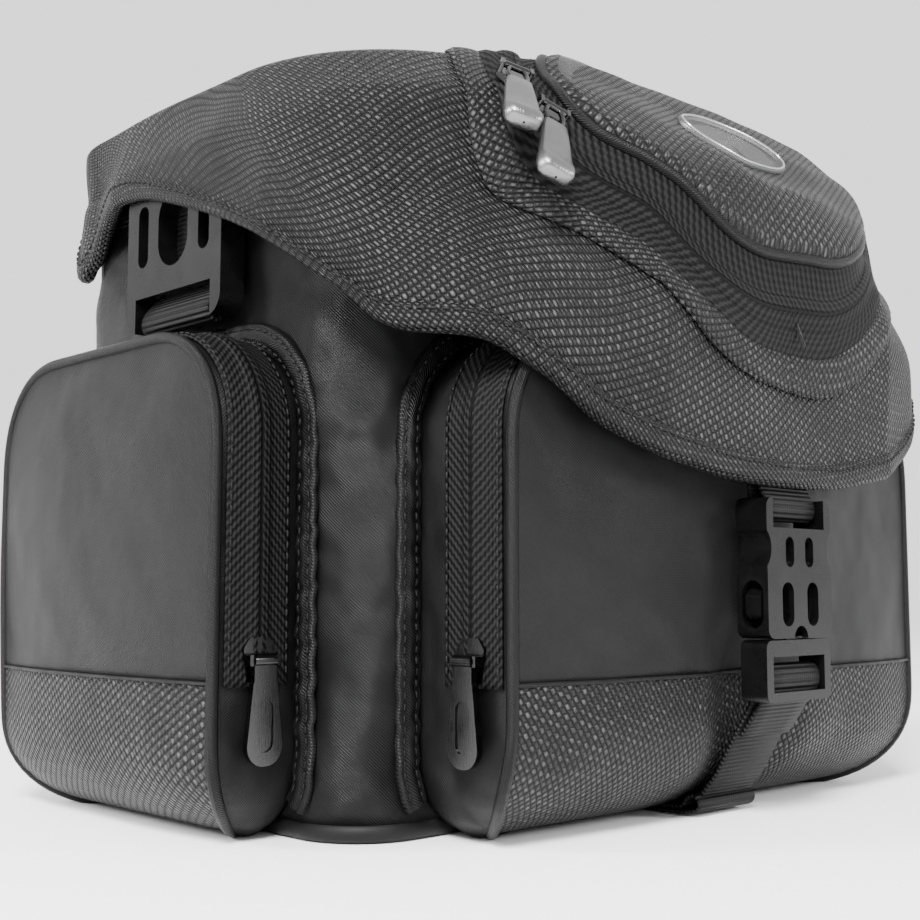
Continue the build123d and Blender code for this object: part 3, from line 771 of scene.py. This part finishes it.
def make_divider(name, x, looks):
    """Padded upright divider with rounded top corners and a bound edge."""
    outline = rounded_rect(70.0, FLOOR_Z + 1.5, 165.0, 3.0, 12.0, arc=8, wide=16, tall=24)
    middle = np.array([0.0, 90.0])
    rows = []
    shares = [0.0, 0.5, 0.8, 0.93, 0.985, 1.0, 1.0, 0.985, 0.93, 0.8, 0.5, 0.0]
    across = [-3.9, -3.8, -3.6, -3.0, -2.0, -0.8, 0.8, 2.0, 3.0, 3.6, 3.8, 3.9]
    for share, off in zip(shares, across):
        ring = middle + (outline - middle) * max(share, 0.02)
        rows.append(np.column_stack([np.full(len(ring), x + off), ring]))
    points = np.stack(rows)
    uv = np.stack([points[..., 1], points[..., 2]], 2)
    panel = cloth(name, points, uv, looks["lining"], "bag", "foam", [name], thick=0.0)
    rim = np.column_stack([np.full(len(outline), x), outline])
    keep = rim[:, 2] > FLOOR_Z + 6
    rim = rim[keep]
    order = np.argsort(np.where(rim[:, 1] > 0, rim[:, 2], 400 - rim[:, 2]), kind="stable")
    look = looks["binding"]
    tube(f"{name}_binding", rim[order], 2.2, look, "bag", closed=False, sides=8)


# ---------------------------------------------------------------- lid

LID_SECTIONS = np.array([
    # height, half width, front, front corner radius, back
    (60, 142, -136.5, 50, 84),
    (150, 142, -136.5, 50, 84),
    (172, 142, -129, 56, 84),
    (204, 141, -109.5, 62, 84),
    (224, 131, -94, 62, 80),
    (233, 115, -78, 54, 62),
    (239.5, 95, -62, 42, 40),
    (243, 74, -46, 30, 16),
])
LID_LOW, LID_TOP = 60, 243.0
SAG_Z, SAG = 222, 0.76
CORNER_IN, CORNER_BACK = 0.727, 0.687
HEM_SIDE = np.array([
    (-104, 137), (-85, 154), (-55, 176), (-28, 187), (-2, 195), (20, 196), (42, 193), (68, 176),
    (77, 188), (81, 205),
])
HEM_FRONT = np.array([(0, 101), (27, 102), (64, 108), (90, 116), (109, 128), (122, 137), (150, 140)])
SLOPE = math.sqrt(0.5)
SLOPE_OUT = np.array([0.0, -SLOPE, SLOPE])
CROWN_Z = 226
LID_COIL = 10.8
TRIM_W = 13.0
BADGE_V = (-116 + 209) * SLOPE
BADGE_HALF_W, BADGE_HALF_H = 27.0, 11.5


def lid_outline(z):
    """Outline of the lid at a height, always with the same number of points."""
    half, front, front_r, back = (np.interp(z, LID_SECTIONS[:, 0], LID_SECTIONS[:, k]) for k in range(1, 5))
    return rounded_rect(half, front, back, front_r, 22.0, 26, 34, 44)


LID_RINGS = np.stack([lid_outline(z) for z in np.arange(LID_LOW, LID_TOP + 1)])


def hem_height(outline):
    """Height of the lid's hem at each point of its outline."""
    side = np.interp(outline[:, 1], HEM_SIDE[:, 0], HEM_SIDE[:, 1])
    front = np.interp(np.abs(outline[:, 0]), HEM_FRONT[:, 0], HEM_FRONT[:, 1])
    height = np.where(outline[:, 1] < -104, front, side)
    for _ in range(10):
        height[1:-1] = 0.25 * height[:-2] + 0.5 * height[1:-1] + 0.25 * height[2:]
        height[0] = height[-1] = 0.5 * height[0] + 0.25 * (height[1] + height[-2])
    return height


def lid_surface(inset=0.0, low=0.0, rows=64):
    """Grid over the lid's outside, from its hem to its crown, pushed in by an inset, with its soft folds."""
    base = LID_RINGS[0]
    hem = hem_height(base) + low
    grid = []
    for t in np.linspace(0, 1, rows):
        z = LID_TOP - (LID_TOP - hem) * (1 - t) ** 1.7
        index = np.clip(z - LID_LOW, 0, len(LID_RINGS) - 1)
        below = np.floor(index).astype(int)
        above = np.minimum(below + 1, len(LID_RINGS) - 1)
        mix = (index - below)[:, None]
        columns = np.arange(len(base))
        flat = LID_RINGS[below, columns] * (1 - mix) + LID_RINGS[above, columns] * mix
        grid.append(np.column_stack([flat, z]))
    top = grid[-1]
    centre = np.array([0.0, -16.0, LID_TOP + 0.6])
    for share in (0.86, 0.7, 0.5, 0.3, 0.12, 0.0):
        ring = centre + (top - centre) * share
        ring[:, 2] = LID_TOP + 0.6 * (1 - share**2)
        grid.append(ring)
    points = np.stack(grid)
    for _ in range(3):
        points[1:-1] = 0.25 * points[:-2] + 0.5 * points[1:-1] + 0.25 * points[2:]
    x, y, z = points[..., 0], points[..., 1], points[..., 2]
    ends = np.clip((np.abs(y + 2) - 30) / 30, 0, 1) * np.where(y > 0, 11.0, 2.0)
    low = np.clip((226 - z) / 20, 0, 1) * np.clip((np.abs(x) - 80) / 55, 0, 1)
    corner = 15.0 * np.clip((np.abs(x) - 60) / 50, 0, 1) * np.clip((-y - 55) / 45, 0, 1)
    corner *= np.clip((208 - z) / 30, 0, 1)
    points[..., 0] = x - np.sign(x) * ((ends + 2.0) * low + CORNER_IN * corner)
    points[..., 1] = y + CORNER_BACK * corner
    points[..., 2] = np.where(z > SAG_Z, SAG_Z + (z - SAG_Z) * SAG, z)
    smooth = points.copy()
    way = -grid_normals(points)
    way[np.isnan(way)] = 0.0
    way[-7:] = UP
    facing = np.sign((way * (points - np.array([0, -10, 150.0]))).sum(2))[..., None]
    way = way * np.where(facing == 0, 1, facing)
    calm = 1 - 0.85 * np.clip((z - 170) / 35, 0, 1) * np.clip((-y - 30) / 25, 0, 1)
    broad = crumple(points, 95, 21, (1, 0.8, 1.3)) * 2.0 * calm
    slant = np.sin((x * 0.55 + z * 1.15) / 15.0 + 1.2 * crumple(points, 70, 24)) * 1.5
    folds = (crumple(points, 34, 22, (0.7, 0.7, 1.6)) * 0.9 + slant * np.clip((-y - 90) / 25, 0, 1)) * calm
    points = smooth + way * (broad + folds - inset)[..., None]
    return points, way


def grid_tree(points):
    """Search tree over a grid, for laying pieces on it."""
    rows, cols = points.shape[:2]
    return BVHTree.FromPolygons([Vector(p) for p in points.reshape(-1, 3)], quads(rows, cols))


def drop_on(tree, x, v, lift):
    """Points over the lid's front slope, lifted off it, at places in the plane of the slope."""
    x, v, lift = np.broadcast_arrays(x, v, lift)
    flat = np.empty(x.shape + (3,))
    for i in np.ndindex(x.shape):
        start = Vector((x[i], v[i] * SLOPE, v[i] * SLOPE)) + Vector(SLOPE_OUT) * 320
        hit = tree.ray_cast(start, Vector(-SLOPE_OUT))[0]
        if hit is None:
            hit = tree.find_nearest(start - Vector(SLOPE_OUT) * 200)[0]
        flat[i] = np.array(hit) + SLOPE_OUT * lift[i]
    return flat


def lid_pocket_outline():
    """Rounded outline of the lid pocket in the plane of the slope, from the middle of its foot."""
    corners = [(28, 22, 46), (77, 60, 20), (71, 97, 27), (-71, 97, 27), (-77, 60, 20), (-28, 22, 46)]
    path = []
    count = len(corners)
    for i, (x, v, radius) in enumerate(corners):
        here = np.array([x, v], float)
        before, after = (np.array(corners[(i + d) % count][:2], float) - here for d in (-1, 1))
        run_b, run_a = np.linalg.norm(before), np.linalg.norm(after)
        before, after = before / run_b, after / run_a
        half_angle = math.acos(np.clip(before.dot(after), -1, 1)) / 2
        cut = radius / math.tan(half_angle)
        middle = here + (before + after) / np.linalg.norm(before + after) * radius / math.sin(half_angle)
        start, end = here + before * cut - middle, here + after * cut - middle
        a0, a1 = math.atan2(start[1], start[0]), math.atan2(end[1], end[0])
        a1 += 2 * math.pi if a1 < a0 else 0
        angles = np.linspace(a0, a1, 18)
        path.append(middle + radius * np.stack([np.cos(angles), np.sin(angles)], 1))
    path = np.vstack(path + [path[0][:1]])
    run = lengths(path)
    marks = np.linspace(0, run[-1], 221)
    smooth = np.stack([np.interp(marks, run, path[:, k]) for k in range(2)], 1)
    start = np.argmin(smooth[:-1, 1] + np.abs(smooth[:-1, 0]) * 0.1)
    smooth = np.vstack([smooth[start:-1], smooth[: start + 1]])
    return smooth


def make_lid_shell(points, looks):
    """Woven outside of the lid and its lining. The weave is measured anew over the crown."""
    half = points.shape[1] // 2
    steps = np.linalg.norm(np.diff(points, axis=1), axis=2)
    round_way = np.concatenate([np.zeros((len(points), 1)), np.cumsum(steps, axis=1)], axis=1)
    round_way[:, half:] -= round_way[:, -1:]
    climb = np.linalg.norm(np.diff(points, axis=0), axis=2)
    rise = np.concatenate([np.zeros((1, points.shape[1])), np.cumsum(climb, 0)])
    crown = int(np.argmax(points[..., 2].mean(axis=1) > CROWN_Z))
    crown_uv = points[..., :2] * 1.15
    uv = np.stack([round_way, rise], 2)
    shell = np.concatenate([points[: crown + 1], points[crown:]])
    shell_uv = np.concatenate([uv[: crown + 1], crown_uv[crown:]])
    cloth("lid_shell", shell, shell_uv, looks["ballistic"], "lid", "ballistic", ["lid_shell"], 2.0)
    inner, _ = lid_surface(3.2, 1.0)
    cloth("lid_lining", inner, uv, looks["lining"], "lid", "lining", ["lid_lining"], 1.0)


def make_lid_hem(points, way, looks):
    """Bound hem, rolled over the edge of the shell and stitched down."""
    run = lengths(LID_RINGS[0])
    hem = points[0]
    upward = points[4] - points[0]
    upward /= np.linalg.norm(upward, axis=1, keepdims=True)
    face = way[1]
    section = [(-3.6, 1.5), (-4.2, -0.6), (-2.6, -1.8), (-0.6, -1.6), (0.7, -0.4)]
    section += [(1.0, 1.4), (0.9, 3.4), (0.7, 5.4), (-0.2, 6.4)]
    strip = np.stack([hem + face * out + upward * up for out, up in section])
    uv = np.stack(np.broadcast_arrays(lengths(np.array(section))[:, None], run[None, :]), 2)
    cloth("lid_hem_binding", strip, uv, looks["hem"], "lid", "ballistic", ["lid_hem_binding"], 0.0)
    row = hem + face * 0.95 + upward * 4.4
    stitches("lid_hem_lower_stitching", row, face, looks["thread"], "lid", 3.4, 2.3, 0.36)


class LidPocket:
    """The sewn-on pocket: its outline in the plane of the slope, and the lid that it lies on."""

    def __init__(self, tree):
        self.tree = tree
        self.outline = lid_pocket_outline()
        self.normal = outward(self.outline)
        self.run = lengths(self.outline)
        self.centre = np.array([0.0, 62.0])
        self.facing = np.broadcast_to(SLOPE_OUT, (len(self.outline), 3))

    def stand(self, v):
        """How far the foot of the pocket stands off the lid at a place up the slope."""
        return 7.0 * np.clip((78 - v) / 40, 0, 1)

    def around(self, grow, lift):
        """The outline, grown by a distance and laid on the lid with a lift."""
        spot = self.outline + self.normal * grow
        return drop_on(self.tree, spot[:, 0], spot[:, 1], lift + np.zeros(len(spot)))


def pocket_softness(x, v):
    """Uneven filling of the lid pocket at a place on the slope."""
    return noise.noise((x / 42, v / 34, 5.5)) + 0.35 * noise.noise((x / 15, v / 13, 8.5))


def make_lid_pocket_panel(pocket, looks):
    """Domed woven panel inside the piping. Returns its grid."""
    rows, flats = [], []
    for share in np.concatenate([[1.0, 0.995, 0.985, 0.97, 0.95], np.linspace(0.92, 0.0, 26)]):
        spot = pocket.centre + (pocket.outline - pocket.centre) * share
        edge = 1 - share
        rim_lift = 2.4 * min(edge / 0.03, 1) ** 0.5
        dome_lift = 2.4 * math.sin(min(edge * 1.9, 1) * math.pi / 2) ** 1.3
        foot = pocket.outline[:, 1] if share > 0.9 else spot[:, 1]
        lift = 4.0 + rim_lift + dome_lift + pocket.stand(foot) * min(share / 0.6, 1)
        soft = np.array([pocket_softness(x, v) for x, v in spot])
        rows.append(drop_on(pocket.tree, spot[:, 0], spot[:, 1], lift + soft * 1.3 * min(edge * 5, 1)))
        flats.append(spot)
    panel = np.stack(rows)
    name, look = "lid_pocket_panel", looks["ballistic"]
    cloth(name, panel, np.stack(flats), look, "lid", "ballistic", [name], 1.6, True)
    return panel


def make_lid_pocket_tape(pocket, looks):
    """Piping round the panel and the zip tape round that, falling from the panel to the lid."""
    stand = pocket.stand(pocket.outline[:, 1])
    name = "lid_pocket_piping"
    tube(name, pocket.around(1.4, 4.6 + stand), 1.9, looks["piping"], "lid", [name])
    steps = np.linspace(1.6, 20.0, 14)
    rows = []
    for grow in steps:
        off = abs(grow - LID_COIL)
        crown = 2.2 + 1.4 * math.exp(-((off / 2.6) ** 4)) - 0.5 * math.exp(-((off / 0.6) ** 2))
        crown += 1.6 * max(0.0, 1 - (grow - 1.6) / 5) - 1.6 * max(0.0, (grow - 17.5) / 2.5)
        rows.append(pocket.around(grow, crown + stand * max(0.0, 1 - (grow - 1.6) / 12) ** 1.3))
    uv = np.stack(np.broadcast_arrays((steps - LID_COIL)[:, None], pocket.run[None, :]), 2)
    name = "lid_pocket_zip_tape"
    cloth(name, np.stack(rows), uv, looks["tape"], "lid", "zip", [name], 0.8)


def make_lid_pocket_flange(pocket, looks):
    """Woven flange that joins the pocket to the lid, with its stitching and the tape's."""
    pucker = np.sin(pocket.run * 2 * math.pi / 9.1 + 2 * np.sin(pocket.run / 23.0)) * 0.12
    rows = []
    for k, grow in enumerate(np.linspace(19.2, 27.0, 7)):
        height = 0.9 + 0.4 * math.sin(math.pi * k / 6) + pucker - 1.0 * (k == 6)
        rows.append(pocket.around(grow, height))
    flange = np.stack(rows)
    name, look = "lid_pocket_flange", looks["ballistic"]
    cloth(name, flange, surface_uv(flange), look, "lid", "ballistic", [name], 1.0)
    for label, k in (("inner", 2), ("outer", 4)):
        name = f"lid_pocket_{label}_flange_stitching"
        stitches(name, flange[k] + SLOPE_OUT * 0.4, pocket.facing, looks["thread"], "lid", 3.4, 2.3)
    row = pocket.around(4.4, 3.6)
    stitches("lid_pocket_tape_stitching", row, pocket.facing, looks["thread"], "lid")


def make_corner_trims(pocket, panel_tree, looks):
    """Smooth nylon crescents over the back corners of the lid pocket."""
    outline = pocket.outline
    for label, sign in (("left", -1), ("right", 1)):
        edge = outline[(outline[:, 0] * sign > 30) & (outline[:, 1] > 66)]
        edge = edge[np.argsort(edge[:, 1] - edge[:, 0] * sign)]
        run = lengths(edge)
        width = TRIM_W * np.sin(math.pi * run / run[-1]) ** 0.7
        toward = pocket.centre - edge
        toward /= np.linalg.norm(toward, axis=1, keepdims=True)
        rows = []
        for share in np.linspace(0.02, 1, 9):
            spot = edge + toward * (width * share)[:, None]
            lift = 0.9 * math.sin(math.pi * min(share, 0.999)) ** 0.5 + 0.1
            rows.append(drop_on(panel_tree, spot[:, 0], spot[:, 1], np.full(len(spot), lift)))
        uv = np.stack(np.broadcast_arrays(np.linspace(0, TRIM_W, 9)[:, None], run[None, :]), 2)
        name = f"lid_pocket_{label}_corner_trim"
        cloth(name, np.stack(rows), uv, looks["gloss"], "lid", "nylon", (), 0.8)


def make_lid(looks):
    """The flap lid: woven shell, lining, bound hem and its sewn-on zip pocket with a badge."""
    points, way = lid_surface()
    make_lid_shell(points, looks)
    make_lid_hem(points, way, looks)
    pocket = LidPocket(grid_tree(points))
    panel = make_lid_pocket_panel(pocket, looks)
    make_lid_pocket_tape(pocket, looks)
    make_lid_pocket_flange(pocket, looks)
    panel_tree = grid_tree(panel)
    make_corner_trims(pocket, panel_tree, looks)
    make_badge(panel_tree, looks)


def make_badge(panel_tree, looks):
    """Plain oval badge: bright rim, dished field and a raised inner oval, following the pocket."""
    angle = np.linspace(0, 2 * math.pi, 73)
    profile = [(1.0, -0.5), (1.0, 1.6), (0.985, 2.4), (0.95, 2.6), (0.915, 2.4), (0.9, 1.7)]
    profile += [(0.86, 1.5), (0.72, 1.5), (0.69, 1.9), (0.6, 2.0), (0.3, 2.1), (0.0, 2.1)]
    rows = []
    for share, lift in profile:
        x = BADGE_HALF_W * share * np.cos(angle)
        v = BADGE_V + BADGE_HALF_H * share * np.sin(angle)
        rows.append(drop_on(panel_tree, x, v, np.full(len(x), lift + 0.4)))
    points = np.stack(rows)
    cloth("badge", points, points[..., :2], looks["badge"], "lid", "badge", ["badge"], 0.0, True)
    tube("badge_rim", points[3], 0.45, looks["bright"], "lid", sides=8)


# ---------------------------------------------------------------- webbing and straps


def band(name, path, across, width, thick, material, body):
    """Flat webbing along a path, with rounded edges. Across is the way its width runs."""
    path, across = np.asarray(path, float), np.asarray(across, float)
    fine = np.linspace(0, lengths(path)[-1], max(24, int(lengths(path)[-1] / 1.2)))
    path = np.stack([np.interp(fine, lengths(path), path[:, k]) for k in range(3)], 1)
    for _ in range(2):
        path[1:-1] = 0.25 * path[:-2] + 0.5 * path[1:-1] + 0.25 * path[2:]
    ahead = np.gradient(path, axis=0)
    ahead /= np.linalg.norm(ahead, axis=1, keepdims=True)
    up = np.cross(ahead, across)
    up /= np.linalg.norm(up, axis=1, keepdims=True) + 1e-9
    half, h = width / 2, thick / 2
    low = [(-half + 0.3, -h), (0, -h), (half - 0.3, -h), (half, -h * 0.4)]
    high = [(half, h * 0.4), (half - 0.3, h), (half * 0.5, h), (0, h), (-half * 0.5, h)]
    section = [*low, *high, (-half + 0.3, h), (-half, h * 0.4), (-half, -h * 0.4), low[0]]
    rows = np.stack([path + across * a + up * b for a, b in section], 1)
    section_a = np.array([a for a, _ in section])
    uv = np.stack(np.broadcast_arrays(section_a[None, :], lengths(path)[:, None]), 2)
    return cloth(name, rows, uv, material, body, "webbing", [name], thick=0.0, flip=True)


def loop_path(centre, radius, start, end, count=20):
    """Arc in a plane given as (second axis, up), for webbing round a bar."""
    angle = np.radians(np.linspace(start, end, count))
    return np.stack([centre[0] + radius * np.cos(angle), centre[1] + radius * np.sin(angle)], 1)


def in_front(*runs):
    """Path in the upright plane through the middle of the bag, from runs of (front to back, up)."""
    flat = np.vstack(runs)
    return np.column_stack([np.zeros(len(flat)), flat])


def make_straps(looks):
    """Tab and strap of the front buckle, and the webs that hold the side buckles."""
    x_way, y_way, web = np.array([1.0, 0.0, 0.0]), np.array([0.0, 1.0, 0.0]), looks["web"]
    tab = in_front(
        [(-131.2, 124), (-131.4, 110), (-133.6, 98.5), (-136.0, 95)],
        loop_path((-133.5, 92.3), 2.75, 165, 380),
        [(-129.9, 97), (-129.7, 104), (-129.7, 124)],
    )
    band("buckle_tab", tab, x_way, 25.0, 1.4, web, "lid")
    strap = in_front(
        [(-108.9, 5.4), (-115.8, 13.2), (-122.0, 24), (-127.8, 33.4), (-130.9, 38.6), (-130.4, 43.0)],
        loop_path((-133.5, 44.0), 2.75, 20, 185),
        [(-136.6, 41.5), (-135.0, 38.4), (-132.0, 35.6), (-129.5, 31.5), (-125.0, 25.5)],
    )
    band("strap_web", strap, x_way, 25.0, 1.5, web, "strap")
    anchor = in_front(
        [(-80.5, 1.1), (-92, 1.1), (-104, 1.2), (-109.6, 1.8), (-111.4, 3.6), (-110.4, 6.0)],
        [(-107.6, 7.0), (-105.4, 5.2), (-104.8, 2.9), (-96, 2.6), (-84, 2.5)],
    )
    band("strap_anchor_tab", anchor, x_way, 29.0, 1.2, web, "bag")
    for side, sign in (("left", -1), ("right", 1)):
        flat = np.vstack([
            [(126.0, 197.5), (126.4, 185), (126.6, 168), (127.2, 157)],
            loop_path((131.2, 152.4), 2.95, 165, 375),
            [(133.2, 156.0), (129.4, 160.0), (127.8, 166.0), (127.6, 196)],
        ])
        path = np.column_stack([sign * flat[:, 0], np.full(len(flat), -4.0), flat[:, 1]])
        band(f"side_web_{side}", path, y_way, 38.0, 1.5, web, "bag")


def make_hinge(looks):
    """Strip of cloth along the top of the back that lets the lid turn."""
    profile = np.array([
        (81.6, 190.0), (82.2, 196), (83.6, 200.5), (84.9, 204), (84.9, 208), (84.2, 213), (82.6, 218)
    ])
    run = lengths(profile)
    fine = np.linspace(0, run[-1], 22)
    flat = np.stack([np.interp(fine, run, profile[:, k]) for k in range(2)], 1)
    xs = np.linspace(-106, 106, 90)
    points = np.stack([
        np.column_stack([xs, np.full(len(xs), y), np.full(len(xs), z)]) for y, z in flat
    ])
    points[..., 1] += crumple(points, 24, 31, (1, 1, 0.5)) * 0.5
    uv = np.stack(np.broadcast_arrays(xs[None, :], fine[:, None]), 2)
    welt = ["hinge_welt"]
    strip = cloth("hinge_strip", points, uv, looks["nylon"], None, "nylon", welt, 1.2, True)
    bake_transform(strip)


# ---------------------------------------------------------------- hard parts

PULLER_SECTIONS = [
    # distance from the pin, half width, half thickness
    (8.6, 0.3, 0.3), (8.6, 3.2, 1.2), (9.2, 3.8, 1.6), (14, 4.3, 1.7), (20, 4.8, 1.6), (25, 5.3, 1.7),
    (26.4, 5.4, 2.4), (29.0, 5.4, 2.9), (31.2, 4.8, 2.7), (32.4, 3.4, 1.7), (32.6, 0.3, 0.3),
]


def joint_named(name):
    """Joint of the record with a given name."""
    return next(j for j in frame["record"]["behaviour"]["joints"] if j["name"] == name)


def make_lid_puller(which, looks):
    """Tapered bar with a rolled foot, hung from its slider's pin by a wire loop."""
    joint = joint_named(f"lid_{which}_puller_swing")
    pin = np.array(joint["pos_m"]) / MM
    across = np.array(joint["axis"], float)
    across /= np.linalg.norm(across)
    name = f"lid_puller_{which}"
    low, high = (np.array(c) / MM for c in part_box(name))
    tip = (low + high) / 2 - pin
    down = tip - across * tip.dot(across)
    down /= np.linalg.norm(down)
    off = np.cross(across, down)
    off *= np.sign(off.dot(SLOPE_OUT))
    rows = []
    for reach, half, thick in PULLER_SECTIONS:
        turn = np.linspace(0, 2 * math.pi, 25)
        a = half * np.sign(np.cos(turn)) * np.abs(np.cos(turn)) ** 0.5
        b = thick * np.sign(np.sin(turn)) * np.abs(np.sin(turn)) ** 0.6
        rows.append(pin + down * reach + across * a[:, None] + off * b[:, None])
    body = f"lid_{which}_puller"
    grid = np.stack(rows)
    cloth(name, grid, grid[..., :2], looks["silver"], body, "silver", [name], 0.0)
    turn = np.linspace(-2.6, 2.6, 30)
    loop = pin + down * (4.6 - 5.2 * np.cos(turn))[:, None] + across * (2.9 * np.sin(turn))[:, None]
    loop = np.vstack([loop[:1] + down * 1.2, loop, loop[-1:] + down * 1.2])
    tube(f"{name}_wire", loop, 0.75, looks["gunmetal"], body, closed=False)


def finish_hard_parts(looks):
    """Procedural finishes on the moulded and metal pieces, whose shapes are already right."""
    for name, node in frame["nodes"].items():
        zip_part = "slider" in name or "pocket_puller" in name
        moulded = "buckle" in name and name != "buckle_tab" or name.startswith("prong")
        if not (zip_part or moulded):
            continue
        node.data.materials.clear()
        node.data.materials.append(looks["gunmetal" if zip_part else "plastic"])
        bevel = node.modifiers.new("soft_edges", "BEVEL")
        bevel.width = (0.35 if zip_part else 0.6) * MM
        bevel.segments = 3
        bevel.limit_method = "ANGLE"
        bevel.angle_limit = math.radians(40)
        bevel.harden_normals = True


# ---------------------------------------------------------------- whole bag


FLOOR_CORNERS = [(-3000, -2500, 0), (3000, -2500, 0), (3000, 6000, 0), (-3000, 6000, 0)]


def make_looks():
    """Every material of the bag."""
    return {
        "nylon": smooth_nylon("wrinkled_nylon"),
        "gloss": smooth_nylon("glossy_nylon", tone=0.004, gloss=0.18, crease=0.3),
        "piping": smooth_nylon("piping_nylon", tone=0.0015, crease=0.15),
        "ballistic": ballistic_cloth("ballistic_cloth"),
        "hem": ballistic_cloth("hem_cloth", yarn=0.04, pitch_mm=1.4),
        "face": smooth_nylon("pocket_face_nylon", gloss=0.38, crease=0.5),
        "base": moulded_plastic("coated_base", tone=0.003, rough=0.6),
        "lining": brushed_lining("brushed_lining"),
        "binding": webbing("binding_tape"),
        "tape": zip_tape("zip_tape"),
        "web": webbing("ribbed_webbing"),
        "plastic": moulded_plastic("moulded_plastic"),
        "gunmetal": metal("gunmetal", tone=0.045, rough=0.2),
        "silver": metal("satin_silver", tone=0.16, rough=0.3, brushed=0.2),
        "badge": metal("badge_metal", tone=0.1, rough=0.42, brushed=0.3),
        "bright": metal("badge_rim_metal", tone=0.45, rough=0.2),
        "thread": thread("stitching_thread", tone=0.006),
    }


def make_pockets(looks):
    """Two zip pockets on the sides, a wider and deeper one on the front."""
    side_size = {"half": 62.0, "depth": 29.0, "under": 25.0, "bulge": 5.0, "narrow": 0.12}
    left = Pocket("left", (-124.5, 5, 0), (0, -1, 0), (-1, 0, 0), seed=41, back=-1, **side_size)
    right = Pocket("right", (124.5, 5, 0), (0, 1, 0), (1, 0, 0), seed=51, back=1, **side_size)
    front = Pocket(
        "front", (0, -80, 0), (1, 0, 0), (0, -1, 0),
        half=100.7, depth=38.0, under=32.0, bulge=7.5, seed=61, dent=1.0,
    )
    for pocket in (left, right, front):
        make_pocket(pocket, looks)


def main():
    """The whole bag on its floor."""
    add_camera()
    add_studio()
    looks = make_looks()
    make_body(looks)
    make_pockets(looks)
    make_lid(looks)
    make_straps(looks)
    make_hinge(looks)
    for which in ("upper", "lower"):
        make_lid_puller(which, looks)
    finish_hard_parts(looks)
    floor = build("floor", FLOOR_CORNERS, [(0, 1, 2, 3)], studio_floor("studio_floor"), None)


main()
